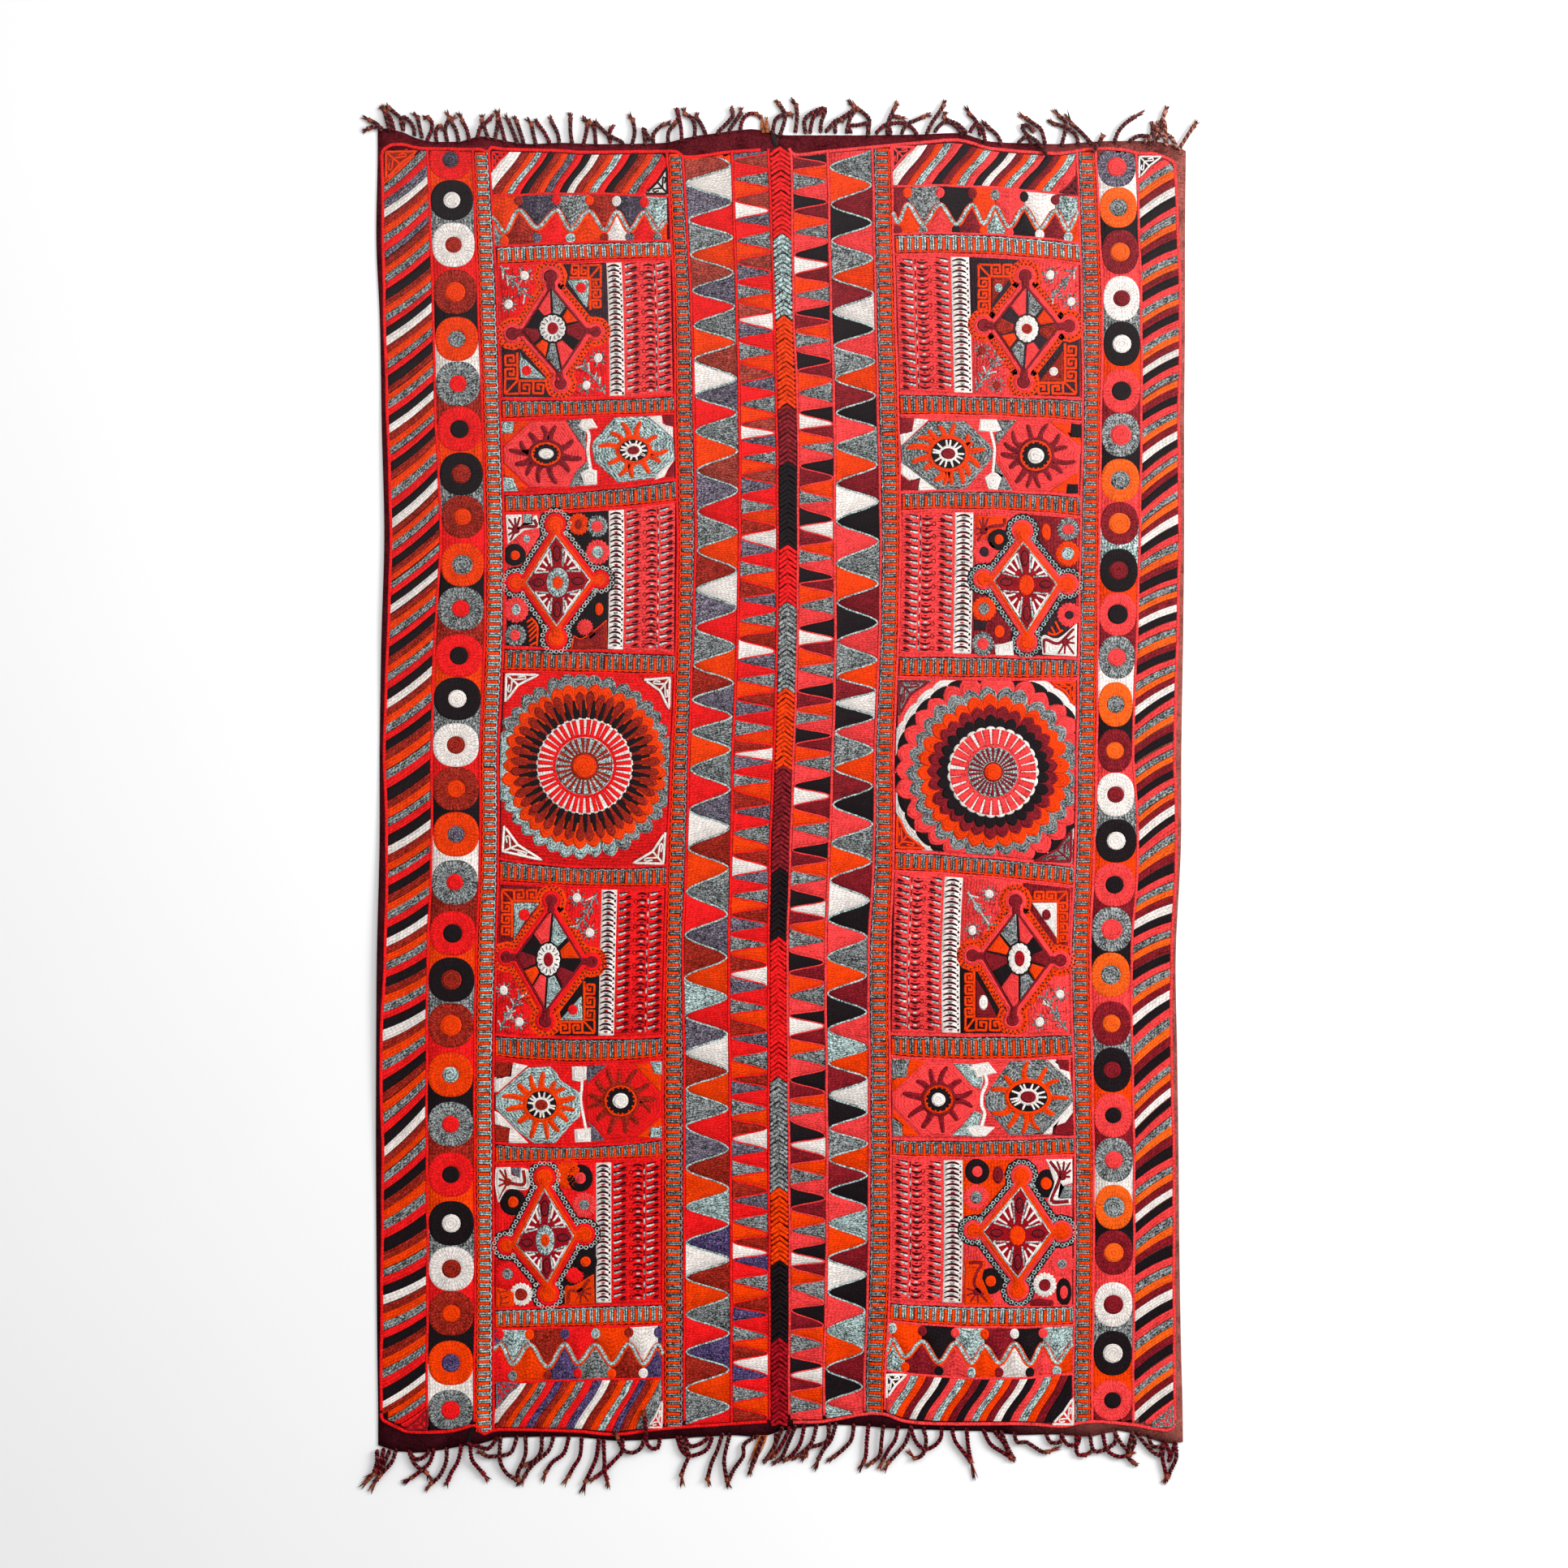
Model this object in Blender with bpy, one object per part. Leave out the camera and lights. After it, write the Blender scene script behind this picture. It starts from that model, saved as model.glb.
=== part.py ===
# Wedding blanket: two embroidered loom widths laid out flat, joined by a sewn braid, with knotted fringes.
# Metres, +Z up. The length runs along Y, and the origin is on the floor under the middle of the blanket.

import math

import bmesh
import bpy
import numpy as np

MILLIMETRE = 0.001

# Half width of the cloth, and half width and half length over the fringe cords
HALF_WIDTH = 0.709
HALF_SPREAD = 0.724
HALF_LENGTH = 1.220

CLOTH_THICK = 0.0022
FIELD_THICK = 0.0036
PIECE_GAP = 0.0003

# The embroidered field starts this far in from a selvedge, and rises to its thickness over a short bevel
SELVEDGE_MARGIN = 0.007
FIELD_BEVEL = 0.005

# Joining braid over the two inner selvedges
BRAID_WIDTH = 0.035
BRAID_THICK = 0.0026
BRAID_EDGE_THICK = 0.0012
BRAID_DIP = 0.0011
BRAID_END_INSET = 0.020

# Fringe: a strip along the cloth's end, and the cords that stand on it
STRIP_WIDTH = 0.008
CORDS_PER_BAY = 2
CORD_THICK = 0.0056
KNOT_WIDTH = 0.0095
KNOT_HEIGHT = 0.0075
TUFT_WIDTH = 0.0055
TUFT_HEIGHT = 0.0030
# Uneven spacing and length of the cords, as shares, and how far a tip strays sideways
CORD_STRAY = 0.10
TIP_STRAY = 0.0035
# A bay narrower than this many cords for each cord in it has none
NARROW_BAY = 3

# Grid of the panels: bays between the two margins of a panel, and rows between its two ends
BAYS = 16
ROWS = 42

# Ripple of the stitched field, none within JOIN_CALM of the join and full from JOIN_FADE beyond that
RIPPLE_HEIGHT = 0.0004
JOIN_CALM = 0.030
JOIN_FADE = 0.060

# Long edges, in millimetres: y, how far each selvedge lies inside HALF_WIDTH, and x of the join
LONG_EDGES = (
    # y, left inset, join x, right inset
    (1180, 3, -6, 0),
    (1126, 3, -4, 1),
    (970, 1, 5, 3),
    (842, 7, 9, 3),
    (657, 10, 11, 2),
    (459, 15, 11, 4),
    (260, 10, 6, 6),
    (89, 7, -1, 9),
    (-81, 7, -5, 10),
    (-280, 3, -6, 20),
    (-450, 1, -6, 17),
    (-621, 0, -4, 14),
    (-791, 1, -2, 13),
    (-961, 3, -3, 10),
    (-1125, 4, -5, 6),
    (-1150, 4, -5, 6),
)

# Ends of the cloth, in millimetres: x, y of the cloth's edge, and y where the stitched field ends
TOP_END = (
    # x, cloth, field
    (-709, 1172, 1142),
    (-658, 1163, 1143),
    (-612, 1148, 1137),
    (-555, 1148, 1137),
    (-523, 1157, 1136),
    (-475, 1147, 1136),
    (-372, 1144, 1132),
    (-272, 1144, 1132),
    (-195, 1147, 1131),
    (-144, 1159, 1124),
    (-48, 1169, 1135),
    (-8, 1160, 1140),
    (40, 1160, 1128),
    (145, 1159, 1139),
    (297, 1162, 1152),
    (358, 1147, 1138),
    (488, 1143, 1129),
    (566, 1149, 1136),
    (654, 1148, 1128),
    (709, 1133, 1112),
)
BOTTOM_END = (
    # x, cloth, field
    (-709, -1130, -1082),
    (-634, -1145, -1112),
    (-549, -1133, -1100),
    (-490, -1120, -1106),
    (-360, -1117, -1107),
    (-290, -1124, -1113),
    (-184, -1120, -1100),
    (-83, -1116, -1096),
    (-8, -1114, -1096),
    (93, -1097, -1086),
    (232, -1102, -1092),
    (350, -1107, -1096),
    (413, -1114, -1096),
    (540, -1117, -1092),
    (591, -1108, -1098),
    (674, -1129, -1109),
    (709, -1126, -1096),
)

# Soft folds, where the cloth stands off the floor, in millimetres: middle, half length, half width, turn in
# degrees from the blanket's length, and height
FOLDS = (
    # x, y, half length, half width, turn, height
    (-524, 1110, 130, 32, 4, 6),
    (-176, 1085, 150, 34, -6, 5),
    (352, 1120, 90, 36, 10, 5),
    (-538, -1060, 150, 34, 3, 7),
    (186, -1040, 140, 34, -4, 5),
    (530, -1060, 110, 36, 6, 5),
    (76, -880, 190, 34, 2, 6),
    (-704, -330, 420, 26, 0, 6),
    (-702, 430, 330, 24, 0, 4),
    (700, -300, 360, 26, 0, 5),
    (-400, 690, 170, 40, 74, 3),
    (420, 300, 190, 42, -68, 3),
    (-300, -640, 190, 42, 80, 3),
    (330, -700, 170, 40, 62, 4),
)

# Lie of the cords along each fringe, in millimetres: x, sideways lean at the tip, and length past the strip
FRINGES = {
    "fringe_top_left": (
        # x, lean, length
        (-709, -64, 34),
        (-660, -18, 44),
        (-560, -12, 42),
        (-470, -14, 50),
        (-330, -20, 44),
        (-200, 14, 38),
        (-130, 10, 46),
        (-60, 14, 43),
        (0, 6, 50),
    ),
    "fringe_top_right": (
        (0, 6, 50),
        (90, 16, 42),
        (180, -8, 46),
        (300, 12, 44),
        (380, -22, 40),
        (480, -26, 46),
        (560, 18, 38),
        (650, 14, 42),
        (709, 70, 42),
    ),
    "fringe_bottom_left": (
        (-709, -46, 62),
        (-640, -24, 56),
        (-540, -20, 64),
        (-430, -8, 72),
        (-320, -14, 104),
        (-210, -4, 66),
        (-120, -10, 66),
        (-40, -12, 56),
        (0, -12, 56),
    ),
    "fringe_bottom_right": (
        (0, -14, 56),
        (60, -20, 60),
        (160, -10, 64),
        (260, -6, 58),
        (340, 10, 80),
        (450, 16, 52),
        (550, 12, 50),
        (640, 8, 60),
        (709, 24, 64),
    ),
}

# Colour and roughness of each finish
FINISHES = {
    "embroidery_left": ((0.62, 0.05, 0.04, 1.0), 0.9),
    "embroidery_right": ((0.68, 0.07, 0.06, 1.0), 0.9),
    "braid_wool": ((0.70, 0.16, 0.03, 1.0), 0.9),
    "warp_wool": ((0.10, 0.02, 0.03, 1.0), 0.95),
}


def clear_scene():
    for thing in list(bpy.data.objects):
        bpy.data.objects.remove(thing, do_unlink=True)


def column(table, index):
    return [row[index] * MILLIMETRE for row in table]


def read_table(table, at, index):
    """Value of a table's column at a place in its first column, in metres."""
    places = column(table, 0)
    values = column(table, index)
    if places[0] > places[-1]:
        places.reverse()
        values.reverse()
    return float(np.interp(at, places, values))


def left_selvedge(y):
    return -HALF_WIDTH + read_table(LONG_EDGES, y, 1)


def join_line(y):
    return read_table(LONG_EDGES, y, 2)


def right_selvedge(y):
    return HALF_WIDTH - read_table(LONG_EDGES, y, 3)


def fold_height(x, y):
    """How far the cloth stands off the floor. Each fold ends smoothly, and the cloth lies flat between."""
    height = 0.0
    for middle_x, middle_y, half_length, half_width, turn, top in FOLDS:
        along_x = math.sin(math.radians(turn))
        along_y = math.cos(math.radians(turn))
        dx = x - middle_x * MILLIMETRE
        dy = y - middle_y * MILLIMETRE
        along = (dx * along_x + dy * along_y) / (half_length * MILLIMETRE)
        across = (dx * along_y - dy * along_x) / (half_width * MILLIMETRE)
        if abs(along) < 1 and abs(across) < 1:
            height += top * MILLIMETRE * ((1 - along**2) * (1 - across**2)) ** 2
    return height


def ripple(x, y):
    """Uneven thickness of the stitched field, gone where the braid lies on it."""
    strength = (abs(x - join_line(y)) - JOIN_CALM) / JOIN_FADE
    wave = math.sin(23 * x + 1.3) * math.sin(19 * y) + 0.6 * math.sin(41 * y + 9 * x)
    return RIPPLE_HEIGHT * min(1.0, max(0.0, strength)) * wave


def steps_between(low, high, count):
    return [low + (high - low) * step / count for step in range(count + 1)]


def across_stations(side):
    """Stations across a panel: share of its width, metres added to that, and share of the field's rise."""
    first = SELVEDGE_MARGIN + FIELD_BEVEL
    stations = [(0.0, 0.0, 0.0), (0.0, SELVEDGE_MARGIN, 0.0), (0.0, first, 1.0)]
    for share in steps_between(0.0, 1.0, BAYS)[1:]:
        stations.append((share, first * (1 - share), 1.0))
    if side == "left":
        return stations
    return [(1 - share, -added, rise) for share, added, rise in reversed(stations)]


def heights_of_rows(x):
    """Rows of a column at x: y of each, with the share of the field's rise there."""
    low_field = read_table(BOTTOM_END, x, 2)
    high_field = read_table(TOP_END, x, 2)
    rows = [(read_table(BOTTOM_END, x, 1), 0.0), (low_field - FIELD_BEVEL, 0.0)]
    rows += [(y, 1.0) for y in steps_between(low_field, high_field, ROWS)]
    rows += [(high_field + FIELD_BEVEL, 0.0), (read_table(TOP_END, x, 1), 0.0)]
    return rows


def panel_lines(side):
    """Plan of a panel: a list of columns, each a list of (x, y, thickness), from the bottom to the top."""
    low_edge = left_selvedge if side == "left" else join_line
    high_edge = join_line if side == "left" else right_selvedge
    gap_side = -1 if side == "left" else 1
    lines = []
    for share, added, rise in across_stations(side):
        join_share = share if side == "left" else 1 - share
        shift = added + gap_side * join_share * PIECE_GAP / 2

        def place_across(y):
            return low_edge(y) * (1 - share) + high_edge(y) * share + shift

        line = []
        middle_x = place_across(0.0)
        for y, end_rise in heights_of_rows(middle_x):
            x = place_across(y)
            raised = min(rise, end_rise)
            stitches = FIELD_THICK - CLOTH_THICK + ripple(x, y)
            line.append((x, y, CLOTH_THICK + stitches * raised))
        lines.append(line)
    return lines


def material_for(finish):
    if finish in bpy.data.materials:
        return bpy.data.materials[finish]
    colour, roughness = FINISHES[finish]
    material = bpy.data.materials.new(finish)
    material.use_nodes = True
    shader = material.node_tree.nodes["Principled BSDF"]
    shader.inputs["Base Color"].default_value = colour
    shader.inputs["Roughness"].default_value = roughness
    shader.inputs["Metallic"].default_value = 0.0
    material.diffuse_color = colour
    return material


def new_object(name, mesh, finish):
    thing = bpy.data.objects.new(name, mesh)
    bpy.context.scene.collection.objects.link(thing)
    thing.data.materials.append(material_for(finish))
    return thing


def closed_mesh(name, build):
    shape = bmesh.new()
    build(shape)
    bmesh.ops.recalc_face_normals(shape, faces=shape.faces)
    mesh = bpy.data.meshes.new(name)
    shape.to_mesh(mesh)
    shape.free()
    return mesh


def skin_of_sheet(shape, upper, lower):
    """Faces of a sheet between two grids of points, with its four edges closed."""
    columns = len(upper)
    rows = len(upper[0])
    for i in range(columns - 1):
        for j in range(rows - 1):
            shape.faces.new((upper[i][j], upper[i + 1][j], upper[i + 1][j + 1], upper[i][j + 1]))
            shape.faces.new((lower[i][j], lower[i][j + 1], lower[i + 1][j + 1], lower[i + 1][j]))
    for i in range(columns - 1):
        for j in (0, rows - 1):
            shape.faces.new((lower[i][j], lower[i + 1][j], upper[i + 1][j], upper[i][j]))
    for j in range(rows - 1):
        for i in (0, columns - 1):
            shape.faces.new((lower[i][j], upper[i][j], upper[i][j + 1], lower[i][j + 1]))


def make_panel(side):
    lines = panel_lines(side)

    def build(shape):
        upper = []
        lower = []
        for line in lines:
            upper.append([])
            lower.append([])
            for x, y, thick in line:
                floor = fold_height(x, y)
                upper[-1].append(shape.verts.new((x, y, floor + thick)))
                lower[-1].append(shape.verts.new((x, y, floor)))
        skin_of_sheet(shape, upper, lower)

    name = "panel_" + side
    new_object(name, closed_mesh(name, build), "embroidery_" + side)
    return lines


def make_braid(rows_of_panel):
    """Band of herringbone stitches: a low roll each side of a groove, over the two inner edges."""
    bottom = rows_of_panel[0] + BRAID_END_INSET
    top = rows_of_panel[-1] - BRAID_END_INSET
    stations = [bottom] + [y for y in rows_of_panel if bottom < y < top] + [top]
    base = FIELD_THICK + PIECE_GAP
    # Share of the width, and height over the base
    profile = (
        (-0.50, BRAID_EDGE_THICK),
        (-0.27, BRAID_THICK),
        (0.0, BRAID_THICK - BRAID_DIP),
        (0.27, BRAID_THICK),
        (0.50, BRAID_EDGE_THICK),
    )

    def build(shape):
        upper = []
        lower = []
        for share, height in profile:
            upper.append([])
            lower.append([])
            for y in stations:
                x = join_line(y) + share * BRAID_WIDTH
                upper[-1].append(shape.verts.new((x, y, base + height)))
                lower[-1].append(shape.verts.new((x, y, base)))
        skin_of_sheet(shape, upper, lower)

    new_object("centre_braid", closed_mesh("centre_braid", build), "braid_wool")


def cord_rings(root_x, root_y, floor, outward, lean, length, half_root):
    """Rings of a cord from its root to its frayed tip, each a centre, half width, height and floor."""
    half = CORD_THICK / 2
    # Share of the length, share of the lean, half width, height
    course = (
        (0.0, 0.0, half_root, CLOTH_THICK),
        (0.24, 0.12, half, CORD_THICK),
        (0.66, 0.58, half, CORD_THICK),
        (0.79, 0.76, KNOT_WIDTH / 2, KNOT_HEIGHT),
        (1.0, 1.0, TUFT_WIDTH / 2, TUFT_HEIGHT),
    )
    rings = []
    for share, lean_share, half_width, height in course:
        x = root_x + lean * lean_share
        y = root_y + outward * length * share
        rings.append((x, y, half_width, height, floor * (1 - share)))
    return rings


def make_fringe(name, lines, outward):
    """Cords on a strip that follows the cloth's end, a little apart from it."""
    row = -1 if outward > 0 else 0
    ends = [(line[row][0], line[row][1]) for line in lines]
    table = FRINGES[name]
    half_root = CORD_THICK / 2

    def end_y(x):
        return float(np.interp(x, [end[0] for end in ends], [end[1] for end in ends]))

    # Stations along the strip, each with whether a cord stands between it and the next one
    stations = []
    for bay in range(len(ends) - 1):
        start, stop = ends[bay][0], ends[bay + 1][0]
        stations.append((start, False))
        if stop - start < NARROW_BAY * CORDS_PER_BAY * CORD_THICK:
            continue
        for cord in range(CORDS_PER_BAY):
            shift = CORD_STRAY * math.sin(5.1 * bay + 2.7 * cord)
            middle = start + (stop - start) * (cord + 0.5 + shift) / CORDS_PER_BAY
            stations.append((middle - half_root, True))
            stations.append((middle + half_root, False))
    stations.append((ends[-1][0], False))

    def build(shape):
        inner_low, inner_high, outer_low, outer_high = [], [], [], []
        for x, _ in stations:
            near = end_y(x) + outward * PIECE_GAP
            far = near + outward * STRIP_WIDTH
            floor = fold_height(x, end_y(x))
            inner_low.append(shape.verts.new((x, near, floor)))
            inner_high.append(shape.verts.new((x, near, floor + CLOTH_THICK)))
            outer_low.append(shape.verts.new((x, far, floor)))
            outer_high.append(shape.verts.new((x, far, floor + CLOTH_THICK)))
        for i in range(len(stations) - 1):
            shape.faces.new((inner_high[i], inner_high[i + 1], outer_high[i + 1], outer_high[i]))
            shape.faces.new((inner_low[i], outer_low[i], outer_low[i + 1], inner_low[i + 1]))
            shape.faces.new((inner_low[i], inner_low[i + 1], inner_high[i + 1], inner_high[i]))
            if stations[i][1]:
                add_cord(shape, i, (outer_low, outer_high))
            else:
                shape.faces.new((outer_low[i], outer_high[i], outer_high[i + 1], outer_low[i + 1]))
        for i in (0, len(stations) - 1):
            shape.faces.new((inner_low[i], inner_high[i], outer_high[i], outer_low[i]))

    def add_cord(shape, i, outer):
        outer_low, outer_high = outer
        first = [outer_low[i], outer_low[i + 1], outer_high[i + 1], outer_high[i]]
        root = (first[0].co + first[2].co) / 2
        lean = read_table(table, root.x, 1) + TIP_STRAY * math.sin(3.7 * i)
        room = HALF_SPREAD - KNOT_WIDTH / 2
        lean = max(-room - root.x, min(room - root.x, lean))
        length = read_table(table, root.x, 2) * (1 + CORD_STRAY * math.sin(2.3 * i + 1))
        length = min(length, HALF_LENGTH - abs(root.y))
        floor = fold_height(root.x, end_y(root.x))
        previous = first
        rings = cord_rings(root.x, root.y, floor, outward, lean, length, half_root)
        for x, y, half_width, height, base in rings[1:]:
            corners = ((-1, 0), (1, 0), (1, 1), (-1, 1))
            ring = [shape.verts.new((x + side * half_width, y, base + up * height)) for side, up in corners]
            for k in range(4):
                shape.faces.new((previous[k], previous[(k + 1) % 4], ring[(k + 1) % 4], ring[k]))
            previous = ring
        shape.faces.new(previous)

    new_object(name, closed_mesh(name, build), "warp_wool")


def main():
    clear_scene()
    for side in ("left", "right"):
        lines = make_panel(side)
        make_fringe("fringe_top_" + side, lines, 1)
        make_fringe("fringe_bottom_" + side, lines, -1)
        if side == "left":
            make_braid([point[1] for point in lines[-1]])


main()
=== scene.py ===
# Looks of a two-panel wool wedding blanket, laid out flat and seen from straight above.
import math

import bpy
import numpy as np
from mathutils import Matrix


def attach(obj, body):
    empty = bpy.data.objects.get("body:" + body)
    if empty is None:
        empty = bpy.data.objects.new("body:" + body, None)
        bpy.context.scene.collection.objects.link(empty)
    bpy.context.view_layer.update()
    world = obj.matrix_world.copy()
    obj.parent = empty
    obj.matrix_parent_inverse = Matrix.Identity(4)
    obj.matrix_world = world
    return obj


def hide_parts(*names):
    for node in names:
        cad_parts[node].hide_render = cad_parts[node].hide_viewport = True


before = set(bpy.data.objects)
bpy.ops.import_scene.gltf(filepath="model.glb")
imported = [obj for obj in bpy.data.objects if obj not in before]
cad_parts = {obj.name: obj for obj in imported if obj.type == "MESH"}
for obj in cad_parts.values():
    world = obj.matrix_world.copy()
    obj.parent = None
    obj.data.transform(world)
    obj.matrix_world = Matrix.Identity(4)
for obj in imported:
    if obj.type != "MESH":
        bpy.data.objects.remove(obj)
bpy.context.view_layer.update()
bpy.ops.object.select_all(action="DESELECT")

norm = np.linalg.norm


def numbers(text):
    return np.array(text.split(), float)


def spots(text):
    # "671,560 690,571" as an array with a row for each entry
    return np.array([entry.split(",") for entry in text.split()], float)


def entriesOf(text):
    return [entry.strip() for entry in text.split(";") if entry.strip()]


def table(text):
    # "name 1 2 3; name 4 5 6" as a dictionary of arrays
    entries = (entry.split() for entry in entriesOf(text))
    return {name: np.array(values, float) for name, *values in entries}


def paired(*parts):
    return np.stack(parts, axis=-1)


def wobble(count=None):
    return chance.standard_normal(count)


def unit(vector):
    return vector / norm(vector)


def towards(angle):
    return np.array([math.cos(angle), math.sin(angle)])


def turned(vector):
    return np.array([-vector[1], vector[0]])


def runOf(path):
    # How far along a path each of its points lies
    return np.append(0, np.cumsum(norm(np.diff(path, axis=0), axis=1)))


def headings(path):
    # The direction of a path at each point, and the direction square to it
    heading = np.gradient(path, axis=0)
    heading /= np.maximum(norm(heading, axis=1), 1e-6)[:, None]
    return heading, paired(-heading[:, 1], heading[:, 0])


def addPiece(name, points, faces, mapName, places, material):
    # A mesh object with a map, a material and its place in the shared frame
    mesh = bpy.data.meshes.new(name)
    mesh.from_pydata(points, [], faces)
    mesh.uv_layers.new(name=mapName).data.foreach_set("uv", places.astype(np.float32).ravel())
    mesh.shade_smooth()
    piece = bpy.data.objects.new(name, mesh)
    bpy.context.scene.collection.objects.link(piece)
    mesh.materials.append(material)
    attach(piece, "root")
    return piece


# Places in the tables below are in chart steps: pixels of the photo, read off it, with y running down.
# One step is this many metres of blanket, and the middle of the blanket lies at chartMiddle.
chartStep = 0.00142
chartMiddle = (962.5, 983.0)
chance = np.random.default_rng(7)

# What most lines of stitching share, the panels' own reds, and which way each panel's drawing faces
oneRow = {"rows": 1, "stitch": 4}
panelRed = {"left": "scarlet", "right": "coral"}
hand = {"left": 1, "right": -1}
clothThick = 0.0022
# How wide a row of stitches is in a strip, round a pad and across it, in chart steps
stripRow, padRow, slantRow = 3.6, 3.4, 3.5

# Wool colours as they look in daylight: red, green, blue out of 255, and how heathered the yarn is
yarns = table("""
    scarlet 226 24 26 0.18; coral 232 60 61 0.25; orange 228 57 5 0.16; marigold 232 88 22 0.16;
    rust 148 34 22 0.45; brick 158 58 46 0.5; maroon 124 24 33 0.35; black 27 20 23 0.12; plum 48 30 38 0.3;
    slate 101 93 107 0.8; dusk 68 60 74 0.6; violet 78 62 106 0.7; grey 124 128 128 0.95; aqua 158 178 176 0.85;
    ash 186 190 186 0.5; white 222 213 207 0.1; wine 58 12 20 0.3; crimson 150 16 28 0.35; fleck 150 72 46 0.6;
    umber 112 48 44 0.5; buff 186 128 106 0.4; straw 192 108 52 0.4""")


def linear(value):
    share = value / 255
    return share / 12.92 if share <= 0.04045 else ((share + 0.055) / 1.055) ** 2.4


def shadeOf(yarn, uneven):
    # Linear red, green and blue, each length of yarn a little lighter or darker, and the heather
    tone = 1 + uneven * wobble()
    return np.append(np.clip(np.array([linear(value) for value in yarns[yarn][:3]]) * tone, 0, 1), yarns[yarn][3])


def toMetres(points):
    points = np.asarray(points, float)
    return paired((points[..., 0] - chartMiddle[0]) * chartStep, (chartMiddle[1] - points[..., 1]) * chartStep)


# Soft folds in chart steps: x, y, half length, half width, turn from the length, height in mm
folds = numbers("""
    593 201 92 22 4 6  838 219 106 24 -6 5  1210 194 63 25 10 5  583 1729 106 24 3 7  1093 1715 99 24 -4 5
    1336 1729 77 25 6 5  1016 1603 134 24 2 6  467 1215 296 18 0 6  468 680 232 17 0 4
    1455 1194 254 18 0 5  681 497 120 28 74 3  1258 772 134 30 -68 3  751 1434 134 30 80 3
    1195 1476 120 28 62 4""").reshape(-1, 6)


def floorUnder(points):
    # Height of the cloth's underside over the floor, at points in chart steps
    x, y = points[..., 0], points[..., 1]
    height = np.zeros(x.shape)
    for middleX, middleY, halfLength, halfWidth, turn, top in folds:
        alongX, alongY = math.sin(math.radians(turn)), math.cos(math.radians(turn))
        dx, dy = x - middleX, middleY - y
        along = (dx * alongX + dy * alongY) / halfLength
        across = (dx * alongY - dy * alongX) / halfWidth
        inside = (abs(along) < 1) & (abs(across) < 1)
        height += np.where(inside, top * 0.001 * ((1 - along ** 2) * (1 - across ** 2)) ** 2, 0)
    return height


# Pads of stitching, gathered as grids of points and made one mesh

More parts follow.
